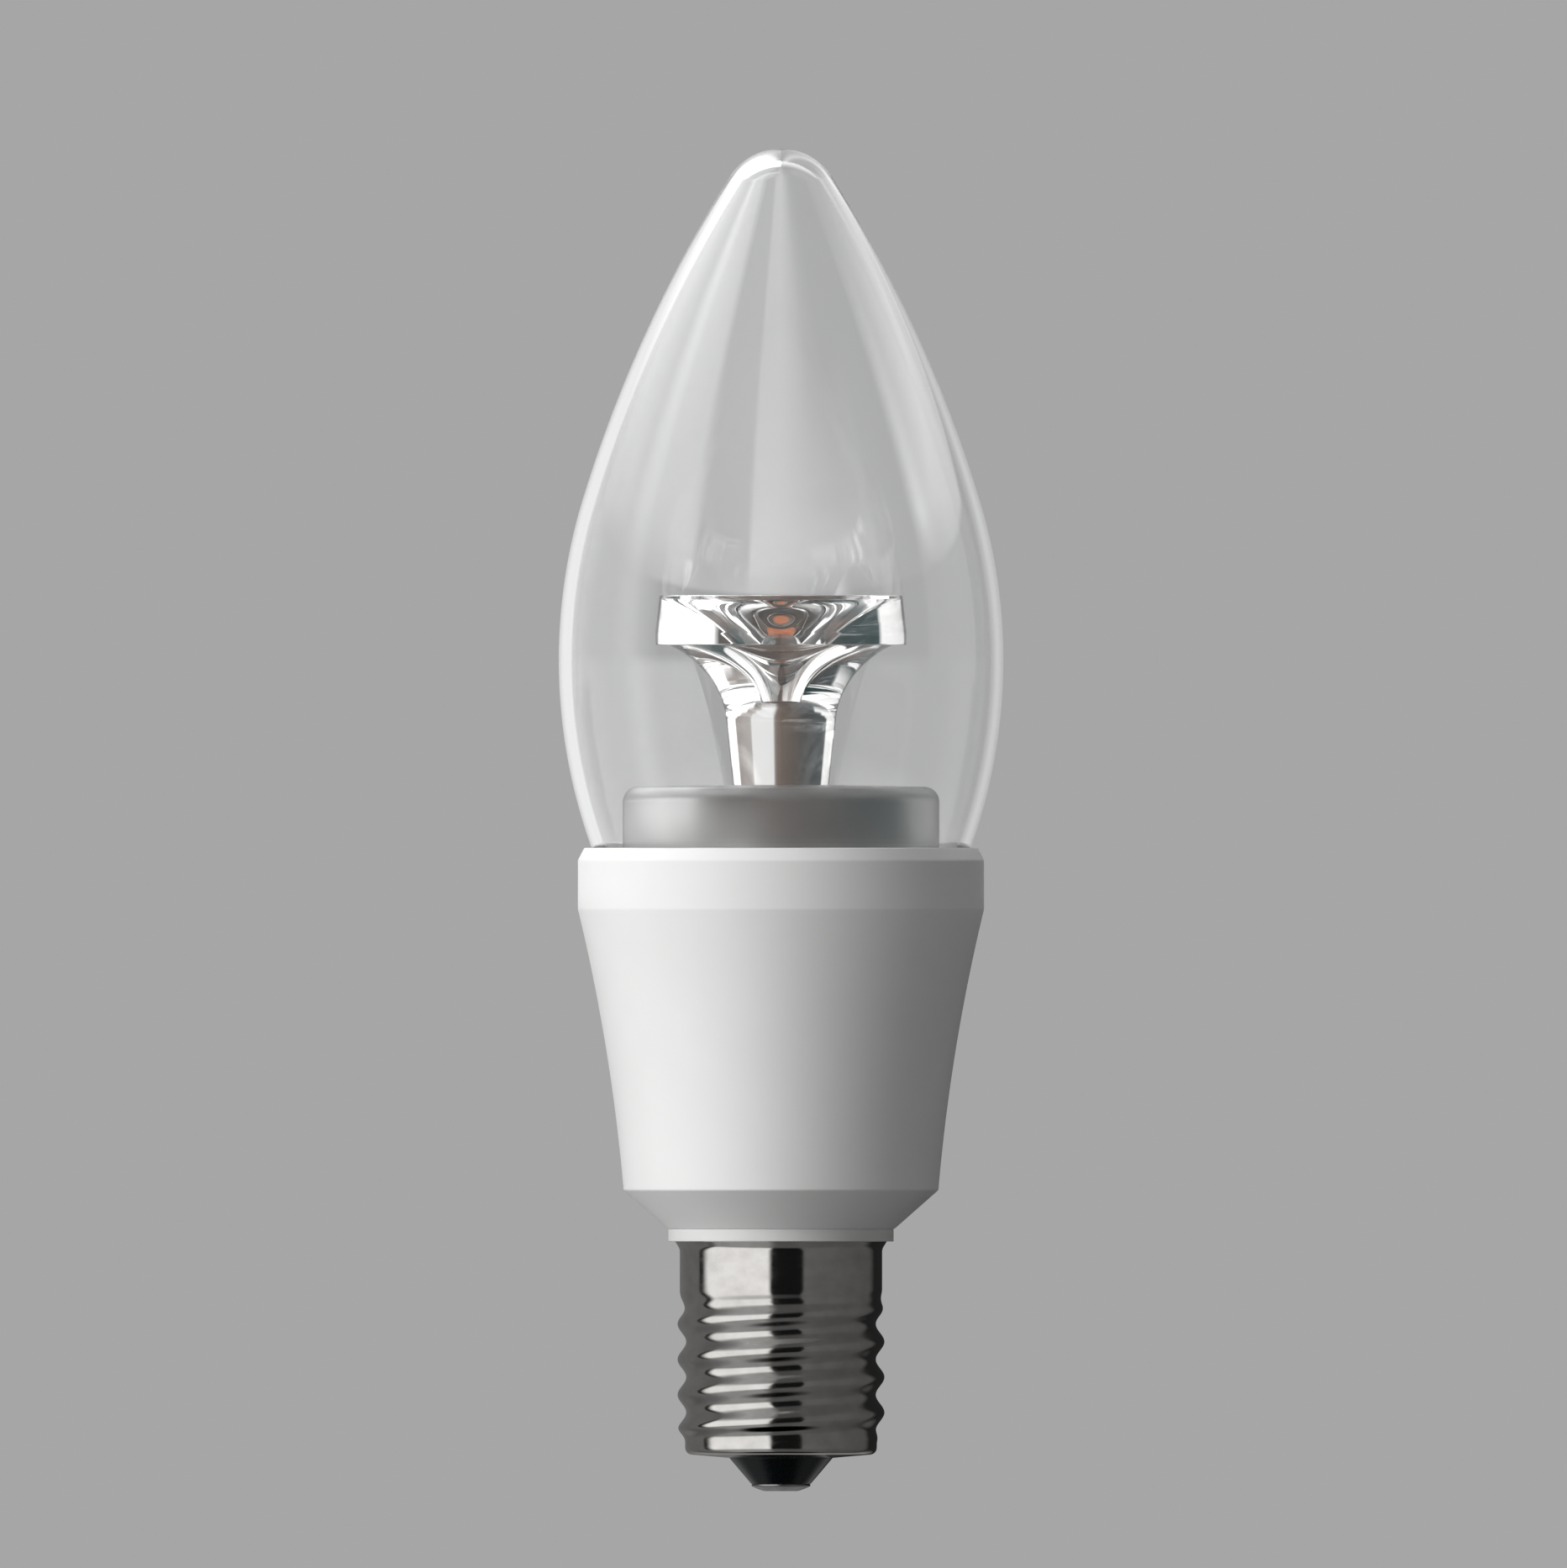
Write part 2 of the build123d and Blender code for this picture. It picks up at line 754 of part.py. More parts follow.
def lead_solder():
    """Domes of solder where the two leads come through the light source's board."""
    curve = (solder_radius**2 + solder_height**2) / (2 * solder_height)
    ball = Sphere(curve)
    cut = block((-curve, curve), (-curve, curve), (curve - solder_height, -curve))
    dome = Pos(0, 0, solder_height - curve) * (ball - cut)
    return Compound(children=[Pos(x, y, board_top_z) * dome for x, y in lead_places])


def live_lead():
    """Straight lead from the notch in the tongue's foot into the contact's stem."""
    return rod(0, 0, lead_radius, (contact_height, tongue_z + notch_height))


def neutral_lead():
    """Lead from the tongue's second notch, out under the case's neck to the inside of the shell."""
    run_z = (insulator_top_z + neck_foot_z) / 2
    path = FilletPolyline(
        (notch_offset, 0, tongue_z + notch_height),
        (notch_offset, 0, run_z),
        (case_neck_radius, 0, run_z),
        radius=lead_bend_radius,
    )
    return sweep(Plane(path @ 0, z_dir=path % 0) * Circle(lead_radius), path=path)


PIECES = [
    centre_contact,
    cap_insulator,
    screw_shell,
    insulating_ring,
    heat_sink,
    globe,
    globe_sealant,
    heat_plate,
    thermal_pad,
    led_board,
    board_screws,
    led_carrier,
    led_phosphor,
    lens_cover,
    light_guide,
    driver_case,
    case_lid,
    driver_board,
    bulk_capacitor,
    output_capacitor,
    transformer_core,
    transformer_winding,
    bridge_rectifier,
    film_capacitor,
    control_chip,
    output_diode,
    chip_parts,
    fuse_resistor,
    led_leads,
    lead_solder,
    live_lead,
    neutral_lead,
]

os.makedirs("parts", exist_ok=True)
for piece in PIECES:
    export_step(piece(), f"parts/{piece.__name__}.step")
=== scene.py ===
"""Candle lamp: smooth surfaces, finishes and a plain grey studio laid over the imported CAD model.

Every round piece is a section of strokes, (radius, height) in millimetres, carried round the lamp's axis.
Meshes are in metres and in the CAD model's own frame, with +Z from the centre contact to the globe's tip.
"""

import logging
from dataclasses import dataclass, field
from enum import Enum
from functools import cache
from math import acos, copysign, cos, pi, radians, sin, sqrt, tan
from typing import Protocol

import bpy
import numpy as np
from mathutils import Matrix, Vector
from numpy.typing import NDArray

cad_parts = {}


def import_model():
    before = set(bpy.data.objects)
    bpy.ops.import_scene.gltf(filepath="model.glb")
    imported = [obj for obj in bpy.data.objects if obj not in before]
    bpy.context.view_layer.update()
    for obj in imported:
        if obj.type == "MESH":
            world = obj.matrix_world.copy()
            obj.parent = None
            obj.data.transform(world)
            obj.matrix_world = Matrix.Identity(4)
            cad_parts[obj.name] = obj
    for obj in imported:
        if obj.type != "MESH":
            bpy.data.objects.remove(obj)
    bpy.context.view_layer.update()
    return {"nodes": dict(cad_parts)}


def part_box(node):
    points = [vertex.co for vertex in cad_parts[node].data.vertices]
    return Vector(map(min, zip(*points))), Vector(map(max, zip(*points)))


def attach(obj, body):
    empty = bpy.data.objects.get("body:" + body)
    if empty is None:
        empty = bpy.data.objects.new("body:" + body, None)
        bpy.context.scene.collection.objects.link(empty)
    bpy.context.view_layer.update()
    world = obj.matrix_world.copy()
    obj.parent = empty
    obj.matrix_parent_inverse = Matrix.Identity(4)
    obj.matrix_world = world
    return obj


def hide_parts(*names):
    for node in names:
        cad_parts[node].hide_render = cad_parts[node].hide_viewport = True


Point = tuple[float, float]
Triple = tuple[float, float, float]
Floats = NDArray[np.float64]
Piece = bpy.types.Object
Material = bpy.types.Material
Socket = bpy.types.NodeSocket
Input = float | tuple[float, ...] | Socket
Inputs = dict[str | int, Input]
Stop = tuple[float, Triple]
Stops = tuple[Stop, ...]
Levels = tuple[tuple[float, Stops], ...]

MM = 0.001
MICRON = 1e-6
BODY = "root"
ARC_STEPS = 800
CORNER_STEPS = 9
LEAST_POINTS = 7
WAVE_RATE = 20.0  # Radians in one unit of length for a wave texture with a scale of 1
ORIGIN: Triple = (0.0, 0.0, 0.0)
EVEN: Triple = (1.0, 1.0, 1.0)
WHOLE: Point = (0.0, 1.0)
NOISE_BULK: Point = (0.3, 0.7)
LOG = logging.getLogger("candle_lamp")


class Slot(Enum):
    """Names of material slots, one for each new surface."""

    GLOBE = "globe_clear"
    GUIDE = "guide_clear"
    COVER = "cover_frosted"
    SINK = "sink_white"
    RING = "ring_white"
    SHELL = "shell_plated"
    INSULATOR = "insulator_black"
    CONTACT = "contact_plated"


class Wave(Enum):
    """Ways in which the fine lines of a finish run."""

    TURNED = "RINGS"
    WOUND = "BANDS"


# Sections and surfaces


def spread_along(stroke: Floats, cut_start: float, cut_end: float, spacing: float) -> Floats:
    """Spreads points along a stroke, closer together towards both of its ends.

    The distance along the stroke is cut_start plus what is left of its length times (1 - cos(pi u)) / 2,
    with u in even steps from 0 to 1.

    Args:
        stroke: Dense points of the stroke.
        cut_start: Length left off at its start.
        cut_end: Length left off at its end.
        spacing: Mean distance between the points.

    Returns:
        The points, with both ends of what is left.
    """
    steps = np.linalg.norm(np.diff(stroke, axis=0), axis=1)
    along = np.concatenate(([0.0], np.cumsum(steps)))
    left = along[-1] - cut_start - cut_end
    count = max(LEAST_POINTS, int(np.ceil(left / spacing)) + 1)
    at = cut_start + left * (0.5 - 0.5 * np.cos(np.pi * np.linspace(0.0, 1.0, count)))
    return np.column_stack([np.interp(at, along, stroke[:, k]) for k in range(2)])


def arc_points(centre: Point, radius: float, start: float, end: float) -> Floats:
    """Dense points of an arc: the centre plus the radius times (cos a, sin a), a from start to end.

    Args:
        centre: Centre of the arc.
        radius: Radius of the arc.
        start: Angle of its first point from the outward radius, in radians.
        end: Angle of its last point.

    Returns:
        The points of the arc.
    """
    angle = np.linspace(start, end, ARC_STEPS)
    return np.array(centre) + radius * np.column_stack([np.cos(angle), np.sin(angle)])


@dataclass
class Section:
    """Path of straight and curved strokes, with a rounded corner where a stroke ends with a rounding.

    Attributes:
        start: First point (radius, height), in millimetres.
        spacing: Mean distance between points.
        strokes: Dense points of each stroke.
        roundings: Length that the corner at each stroke's end takes off both strokes.
        closed: Whether the path comes back to its start.
    """

    start: Point
    spacing: float = 0.4
    strokes: list[Floats] = field(default_factory=list)
    roundings: list[float] = field(default_factory=list)
    closed: bool = False

    def pen(self) -> Floats:
        """Point that the path has reached."""
        return self.strokes[-1][-1] if self.strokes else np.array(self.start, dtype=float)

    def stroke(self, points: Floats, rounding: float = 0.0) -> "Section":
        """Adds a stroke given by its points.

        Args:
            points: Dense points, from where the path has reached.
            rounding: Corner length at the stroke's end.

        Returns:
            The section itself.
        """
        self.strokes.append(points)
        self.roundings.append(rounding)
        return self

    def to(self, point: Point, rounding: float = 0.0, curve: float = 0.0) -> "Section":
        """Adds a straight stroke, or an arc.

        The arc's centre lies off the middle of the chord by sqrt(curve^2 - (chord / 2)^2), square to it.

        Args:
            point: End of the stroke.
            rounding: Corner length at that end.
            curve: Radius of the arc, below 0 where it turns right, or 0 for a straight stroke.

        Returns:
            The section itself.
        """
        first, last = self.pen(), np.array(point, dtype=float)
        if curve == 0.0:
            return self.stroke(np.stack([first, last]), rounding)
        chord = last - first
        length = float(np.hypot(*chord))
        side = np.array([-chord[1], chord[0]]) / length
        centre = (first + last) / 2 + np.sign(curve) * side * sqrt(curve**2 - length**2 / 4)
        half = np.arcsin(length / (2 * abs(curve)))
        begin = np.arctan2(*(first - centre)[::-1])
        return self.stroke(
            arc_points(tuple(centre), abs(curve), begin, begin + np.sign(curve) * 2 * half), rounding
        )

    def close(self, rounding: float = 0.0) -> "Section":
        """Comes back to the start in a straight stroke, with a rounding at the start."""
        self.closed = True
        return self.to(self.start, rounding)

    def points(self) -> Floats:
        """Works out the points of the whole path.

        A corner is (1-t)^2 a + 2 t (1-t) p + t^2 b between the cut ends a and b, about the corner p.

        Returns:
            The points, without the first one again at the end.
        """
        starts = [self.roundings[-1] if self.closed else 0.0] + self.roundings[:-1]
        rows = [
            spread_along(stroke, start, end, self.spacing)
            for stroke, start, end in zip(self.strokes, starts, self.roundings)
        ]
        share = np.linspace(0.0, 1.0, CORNER_STEPS)[1:-1, None]
        path: list[Floats] = []
        for index, (row, rounding) in enumerate(zip(rows, self.roundings)):
            last = index == len(rows) - 1
            path.append(row[:-1] if not rounding and (self.closed or not last) else row)
            if rounding:
                corner, after = self.strokes[index][-1], rows[(index + 1) % len(rows)][0]
                rest = 1 - share
                path.append(rest**2 * row[-1] + 2 * share * rest * corner + share**2 * after)
        return np.concatenate(path)


def carried_round(section: Floats, segments: int) -> Floats:
    """Carries a section round the axis: (r, z) at angle a goes to (r cos a, r sin a, z).

    Args:
        section: Points (radius, height).
        segments: Number of steps round the axis.

    Returns:
        Rings of points, one for each point of the section.
    """
    angle = np.linspace(0.0, 2 * np.pi, segments, endpoint=False)
    flat = section[:, :1, None] * np.stack([np.cos(angle), np.sin(angle)])[None]
    height = np.broadcast_to(section[:, 1:, None], (len(section), 1, segments))
    return np.concatenate([flat, height], axis=1).transpose(0, 2, 1)


def ring_faces(rings: int, segments: int, closed: bool) -> NDArray[np.int64]:
    """Quads between neighbouring rings, and from the last ring to the first on a closed section.

    Args:
        rings: Number of rings.
        segments: Points in a ring.
        closed: Whether the section is closed.

    Returns:
        Corner numbers of the quads.
    """
    low = np.arange(rings if closed else rings - 1)[:, None] * segments
    high = (low + segments) % (rings * segments)
    here = np.arange(segments)[None]
    there = (here + 1) % segments
    return np.stack([low + here, low + there, high + there, high + here], axis=-1).reshape(-1, 4)


def surface_object(name: str, points: Floats, faces: list[list[int]]) -> Piece:
    """Makes a smooth object.

    Args:
        name: Name of the object.
        points: Points in millimetres.
        faces: Corner numbers of each face.

    Returns:
        The object, in metres.
    """
    mesh = bpy.data.meshes.new(name)
    mesh.from_pydata((points * MM).tolist(), [], faces)
    mesh.polygons.foreach_set("use_smooth", np.ones(len(mesh.polygons), dtype=bool))
    mesh.update()
    piece = bpy.data.objects.new(name, mesh)
    bpy.context.scene.collection.objects.link(piece)
    return piece


def closed_surface(name: str, rings: Floats, closed: bool) -> Piece:
    """Makes an object from rings of points, with its faces outwards.

    On an open section the first and last rings lie on the axis, and each becomes one pole with a fan.

    Args:
        name: Name of the object.
        rings: Points (ring, segment, xyz) in millimetres.
        closed: Whether the section is closed.

    Returns:
        The object, in metres.
    """
    segments = rings.shape[1]
    body = rings if closed else rings[1:-1]
    points = body.reshape(-1, 3)
    quads = ring_faces(len(body), segments, closed)
    fans = np.empty((0, 3), dtype=np.int64)
    if not closed:
        here = np.arange(segments)
        there = (here + 1) % segments
        foot, tip = np.full(segments, len(points)), np.full(segments, len(points) + 1)
        end = len(points) - segments
        fans = np.concatenate(
            [np.stack([foot, there, here], 1), np.stack([tip, end + here, end + there], 1)]
        )
        points = np.concatenate([points, rings[:1, 0], rings[-1:, 0]])
    corners = points[np.concatenate([quads[:, :3], quads[:, [0, 2, 3]], fans])]
    if np.einsum("ij,ij->", corners[:, 0], np.cross(corners[:, 1], corners[:, 2])) < 0.0:
        quads, fans = quads[:, ::-1], fans[:, ::-1]
    return surface_object(name, points, quads.tolist() + fans.tolist())


# Finishes


class Graph:
    """Shader tree of one material, made of nodes that are added by kind and fed by values or sockets."""

    def __init__(self, name: str) -> None:
        """Starts a material with one shader that reads the piece's own coordinates.

        Args:
            name: Name of the material.
        """
        self.material = bpy.data.materials.new(name)
        self.material.use_nodes = True
        self.tree = self.material.node_tree
        self.shader = self.tree.nodes["Principled BSDF"]
        self.place = self.add("ShaderNodeTexCoord").outputs["Object"]

    def add(self, kind: str, inputs: Inputs | None = None, **settings: object) -> bpy.types.Node:
        """Adds a node.

        Args:
            kind: Blender's name of the node.
            inputs: Values for its inputs, or sockets that feed them.
            settings: Values for its own settings.

        Returns:
            The node.
        """
        node = self.tree.nodes.new(kind)
        for key, value in settings.items():
            setattr(node, key, value)
        self.feed(node, inputs or {})
        return node

    def feed(self, node: bpy.types.Node, inputs: Inputs) -> None:
        """Sets a node's inputs to values, or links sockets to them.

        Args:
            node: Node to feed.
            inputs: Values or sockets by the name or the number of the input.
        """
        for key, value in inputs.items():
            if isinstance(value, Socket):
                self.tree.links.new(value, node.inputs[key])
            else:
                node.inputs[key].default_value = value

    def moved(self, centre: Triple = ORIGIN, stretch: Triple = EVEN) -> Socket:
        """Coordinates about a centre, drawn out along each axis.

        Args:
            centre: Centre in metres.
            stretch: Share by which each axis is drawn out.

        Returns:
            The coordinates.
        """
        scale = tuple(1.0 / s for s in stretch)
        shift = tuple(-c * s for c, s in zip(centre, scale))
        inputs = {"Vector": self.place, "Location": shift, "Scale": scale}
        return self.add("ShaderNodeMapping", inputs).outputs[0]

    def noise(self, size: float, detail: float = 2.0, stretch: Triple = EVEN) -> Socket:
        """Noise with lumps of about a size in millimetres, drawn out by a stretch."""
        inputs = {"Vector": self.moved(stretch=stretch), "Scale": 1.0 / (size * MM), "Detail": detail}
        return self.add("ShaderNodeTexNoise", inputs).outputs[0]

    def lines(self, wave: Wave, pitch: float, centre: Triple, wander: float = 0.0) -> Socket:
        """Fine lines round the axis, or stacked along it.

        Args:
            wave: Way in which the lines run.
            pitch: Distance from line to line, in millimetres.
            centre: Centre of the lines, in metres.
            wander: How far the lines wander.

        Returns:
            The lines, from 0 in a groove to 1 on a crest.
        """
        scale = 2 * pi / (WAVE_RATE * pitch * MM)
        inputs = {"Vector": self.moved(centre), "Scale": scale, "Distortion": wander}
        settings = {"wave_type": wave.value, "bands_direction": "Z", "rings_direction": "Z"}
        return self.add("ShaderNodeTexWave", inputs, **settings).outputs["Fac"]

    def span(self, value: Socket, source: Point, target: Point) -> Socket:
        """Carries a value from one range to another, held at both ends."""
        inputs = {"Value": value, 1: source[0], 2: source[1], 3: target[0], 4: target[1]}
        return self.add("ShaderNodeMapRange", inputs).outputs[0]

    def blend(self, share: Input, low: Input, high: Input) -> Socket:
        """Mixes two colours, given as colours or sockets, by a share."""
        full = [c if isinstance(c, Socket) else (*c, 1.0) for c in (low, high)]
        return self.add("ShaderNodeMix", {0: share, 6: full[0], 7: full[1]}, data_type="RGBA").outputs[2]

    def sum(self, first: Input, second: Input, kind: str = "ADD") -> Socket:
        """Two values put together by a kind of sum."""
        return self.add("ShaderNodeMath", {0: first, 1: second}, operation=kind).outputs[0]

    def height(self) -> Socket:
        """Height of the coordinates."""
        return self.add("ShaderNodeSeparateXYZ", {0: self.place}).outputs[2]

    def ramp(self, stops: Stops) -> Socket:
        """Colour by the azimuth of the coordinates.

        Args:
            stops: Colours at angles from the view to the right, in degrees.

        Returns:
            The colour.
        """
        parts = self.add("ShaderNodeSeparateXYZ", {0: self.place}).outputs
        azimuth = self.sum(parts[0], self.sum(parts[1], -1.0, "MULTIPLY"), "ARCTAN2")
        node = self.add("ShaderNodeValToRGB", {0: self.span(azimuth, (-pi, pi), WHOLE)})
        elements = node.color_ramp.elements
        for _ in stops[2:]:
            elements.new(0.5)
        for element, (angle, colour) in zip(elements, stops):
            element.position = (angle + 180.0) / 360.0
            element.color = (*colour, 1.0)
        return node.outputs[0]

    def tiers(self, levels: Levels) -> Socket:
        """Colour by azimuth at several heights, blended from each height to the next.

        Args:
            levels: Heights from low to high, each with its stops.

        Returns:
            The colour.
        """
        height = self.height()
        colour = self.ramp(levels[0][1])
        for (low, _), (high, stops) in zip(levels, levels[1:]):
            colour = self.blend(self.span(height, (low, high), WHOLE), colour, self.ramp(stops))
        return colour

    def bump(self, height: Socket, depth: float) -> Socket:
        """Normal of a relief of a depth in micrometres."""
        inputs = {"Height": height, "Distance": depth * MICRON, "Strength": 1.0}
        return self.add("ShaderNodeBump", inputs).outputs[0]

    def shade(self, **inputs: Input) -> Material:
        """Sets the shader's inputs.

        Args:
            inputs: Values or sockets, named as the inputs with _ for a space.

        Returns:
            The finished material.
        """
        self.feed(self.shader, {key.replace("_", " "): value for key, value in inputs.items()})
        return self.material


class Finish(Protocol):
    """Finish that can make its material."""

    name: str

    def material(self) -> Material:
        """Makes the material."""


@cache
def material_of(finish: Finish) -> Material:
    """Material of a finish, made once."""
    return finish.material()


@dataclass(frozen=True)
class ClearFinish:
    """Clear moulded resin or glass with a faint drift of tint and haze, and painted shade at glancing
    angles.
    """

    name: str
    tint: Triple
    drift_tint: Triple
    painted_edge_shade: Triple
    index: float
    haze: float
    ripple: float
    drift: float = 9.0
    smear: float = 3.0
    smeared: Point = (0.45, 0.75)
    glancing: Point = (0.76, 0.82)

    def material(self) -> Material:
        """Makes the material: a slow drift moves the tint, the haze and a very shallow ripple.

        Painted shade: where the surface is met at a glancing angle the colour turns to the edge shade.

        Returns:
            The material.
        """
        graph = Graph(self.name)
        drift = graph.noise(self.drift, detail=2.0, stretch=(1.0, 1.0, 2.5))
        smear = graph.noise(self.smear, detail=4.0)
        facing = graph.add("ShaderNodeLayerWeight", {"Blend": 0.5}).outputs["Facing"]
        tint = graph.blend(drift, self.tint, self.drift_tint)
        return graph.shade(
            # Painted shade: a darker edge colour where the surface is seen at a glancing angle.
            Base_Color=graph.blend(graph.span(facing, self.glancing, WHOLE), tint, self.painted_edge_shade),
            Roughness=graph.span(smear, self.smeared, (0.0, self.haze)),
            Normal=graph.bump(drift, self.ripple),
            Transmission_Weight=1.0,
            IOR=self.index,
        )


@dataclass(frozen=True)
class FrostedFinish:
    """Frosted resin: part of the light goes through, scattered by a fine etched grain."""

    name: str
    tint: Triple
    cloud_tint: Triple
    rough: Point
    grain: float
    depth: float
    through: float
    cloud: float = 4.0
    index: float = 1.49

    def material(self) -> Material:
        """Makes the material: clouds move the tint and the roughness, and grain is the relief.

        Returns:
            The material.
        """
        graph = Graph(self.name)
        cloud = graph.noise(self.cloud, detail=3.0)
        return graph.shade(
            Base_Color=graph.blend(cloud, self.tint, self.cloud_tint),
            Roughness=graph.span(cloud, NOISE_BULK, self.rough),
            Normal=graph.bump(graph.noise(self.grain, detail=1.0), self.depth),
            Transmission_Weight=self.through,
            IOR=self.index,
        )


@dataclass(frozen=True)
class GrainFinish:
    """Moulded, painted or sintered surface: two close tints, a fine grain, an uneven gloss and an optional
    painted glow.
    """

    name: str
    tint: Triple
    cloud_tint: Triple
    cloud: float
    rough: Point
    grain: float
    depth: float
    metallic: float = 0.0
    coat: float = 0.0
    coat_rough: float = 0.15
    stretch: Triple = EVEN
    painted_glow: float = 0.0

    def material(self) -> Material:
        """Makes the material: clouds move the tint, and the grain moves the gloss and is the relief.

        Returns:
            The material.
        """
        graph = Graph(self.name)
        cloud = graph.noise(self.cloud, detail=3.0, stretch=self.stretch)
        grain = graph.noise(self.grain, detail=2.0, stretch=self.stretch)
        tint = graph.blend(graph.span(cloud, NOISE_BULK, WHOLE), self.tint, self.cloud_tint)
        return graph.shade(
            Base_Color=tint,
            # Painted light: the tint glows at the painted glow strength, though the piece is no lamp.
            Emission_Color=tint,
            Emission_Strength=self.painted_glow,
            Roughness=graph.span(grain, NOISE_BULK, self.rough),
            Normal=graph.bump(grain, self.depth),
            Metallic=self.metallic,
            Coat_Weight=self.coat,
            Coat_Roughness=self.coat_rough,
        )


@dataclass(frozen=True)
class PlatedFinish:
    """Bright plating on drawn sheet: fine pits, faint draw lines and a thin dull film."""

    name: str
    tint: Triple
    film_tint: Triple
    rough: Point
    pits: float
    depth: float
    film: float = 1.6
    draw: float = 0.5
    filmed: Point = (0.35, 0.75)
    film_share: float = 0.6
    draw_share: float = 0.5
    dulled: Point = (0.35, 0.7)

    def material(self) -> Material:
        """Makes the material: the film moves tint and gloss, pits and draw lines are the relief.

        Returns:
            The material.
        """
        graph = Graph(self.name)
        film = graph.noise(self.film, detail=4.0, stretch=(1.0, 1.0, 0.7))
        draw = graph.noise(self.draw, detail=2.0, stretch=(6.0, 6.0, 0.5))
        pits = graph.noise(self.pits, detail=2.0)
        filmed = graph.sum(film, self.film_share, "MULTIPLY")
        gloss = graph.sum(filmed, graph.sum(draw, 1.0 - self.film_share, "MULTIPLY"))
        relief = graph.sum(graph.sum(draw, self.draw_share, "MULTIPLY"), pits)
        return graph.shade(
            Base_Color=graph.blend(graph.span(film, self.filmed, WHOLE), self.tint, self.film_tint),
            Roughness=graph.span(gloss, self.dulled, self.rough),
            Normal=graph.bump(relief, self.depth),
            Metallic=1.0,
        )


@dataclass(frozen=True)
class LineFinish:
    """Surface with fine lines: turned metal, or a coil of wire."""

    name: str
    tint: Triple
    groove_tint: Triple
    wave: Wave
    pitch: float
    centre: Triple
    rough: Point
    depth: float
    metallic: float = 1.0
    wander: float = 0.3
    cloud: float = 2.0

    def material(self) -> Material:
        """Makes the material: the lines move tint and relief, and slow clouds move the gloss.

        Returns:
            The material.
        """
        graph = Graph(self.name)
        lines = graph.lines(self.wave, self.pitch, self.centre, self.wander)
        return graph.shade(
            Base_Color=graph.blend(lines, self.groove_tint, self.tint),
            Roughness=graph.span(graph.noise(self.cloud, detail=3.0), NOISE_BULK, self.rough),
            Normal=graph.bump(lines, self.depth),
            Metallic=self.metallic,
        )


@dataclass(frozen=True)
class BoardFinish:
    """Circuit board: masked laminate with paler tracks under the mask."""

    name: str
    mask: Triple
    track: Triple
    pitch: float
    rough: Point
    uneven: float = 0.7
    weave: float = 0.3
    weave_share: float = 0.3
    bank: Point = (0.1, 0.14)
    depth: float = 12.0
    coat: float = 0.3
    coat_rough: float = 0.2

    def material(self) -> Material:
        """Makes the material: a blocky cell pattern gives the tracks, and a weave gives the relief.

        Returns:
            The material.
        """
        graph = Graph(self.name)
        inputs = {"Vector": graph.place, "Scale": 1.0 / (self.pitch * MM), "Randomness": self.uneven}
        settings = {"feature": "DISTANCE_TO_EDGE", "distance": "EUCLIDEAN"}
        cells = graph.add("ShaderNodeTexVoronoi", inputs, **settings).outputs["Distance"]
        tracks = graph.span(cells, self.bank, (1.0, 0.0))
        grain = graph.noise(self.weave, detail=2.0)
        relief = graph.sum(tracks, graph.sum(grain, self.weave_share, "MULTIPLY"))
        return graph.shade(
            Base_Color=graph.blend(tracks, self.mask, self.track),
            Roughness=graph.span(grain, NOISE_BULK, self.rough),
            Normal=graph.bump(relief, self.depth),
            Coat_Weight=self.coat,
            Coat_Roughness=self.coat_rough,
        )


GLOBE_CLEAR = ClearFinish(
    "globe_clear", (0.99, 0.992, 0.992), (0.975, 0.98, 0.98), (0.97, 0.975, 0.975), 1.49, 0.02, 1.0
)
# The light guide's near-black edge colour is painted shade that draws its outlines.
GUIDE_CLEAR = ClearFinish(
    "guide_clear", (0.985, 0.98, 0.975), (0.965, 0.96, 0.95), (0.02, 0.02, 0.02), 1.49, 0.012, 0.3
)
GLUE_CLEAR = ClearFinish(
    "glue_clear", (0.99, 0.99, 0.99), (0.98, 0.98, 0.98), (0.98, 0.98, 0.98), 1.0, 0.0, 0.0
)
COVER_FROSTED = FrostedFinish(
    "cover_frosted", (0.68, 0.68, 0.675), (0.64, 0.645, 0.64), (0.34, 0.42), 0.12, 2.0, 0.97
)
SINK_WHITE = GrainFinish(
    "sink_white", (0.87, 0.87, 0.865), (0.85, 0.85, 0.845), 6.0, (0.42, 0.54), 0.16, 2.0
)
RING_WHITE = GrainFinish("ring_white", (0.72, 0.72, 0.71), (0.69, 0.69, 0.68), 3.0, (0.4, 0.55), 0.12, 2.0)
SHELL_PLATED = PlatedFinish(
    "shell_plated", (0.6, 0.585, 0.565), (0.5, 0.485, 0.465), (0.06, 0.16), 0.09, 0.9
)
INSULATOR_BLACK = GrainFinish(
    "insulator_black", (0.002, 0.004, 0.005), (0.006, 0.009, 0.01), 2.0, (0.16, 0.3), 0.15, 1.5, coat=0.3
)
CONTACT_PLATED = PlatedFinish(
    "contact_plated", (0.38, 0.38, 0.38), (0.3, 0.29, 0.28), (0.25, 0.42), 0.1, 2.0
)
SEALANT_WHITE = GrainFinish(
    "sealant_white", (0.82, 0.82, 0.81), (0.76, 0.76, 0.75), 1.5, (0.35, 0.6), 0.5, 12.0
)
CERAMIC_TAN = GrainFinish("ceramic_tan", (0.5, 0.42, 0.37), (0.42, 0.35, 0.31), 0.8, (0.4, 0.6), 0.1, 3.0)
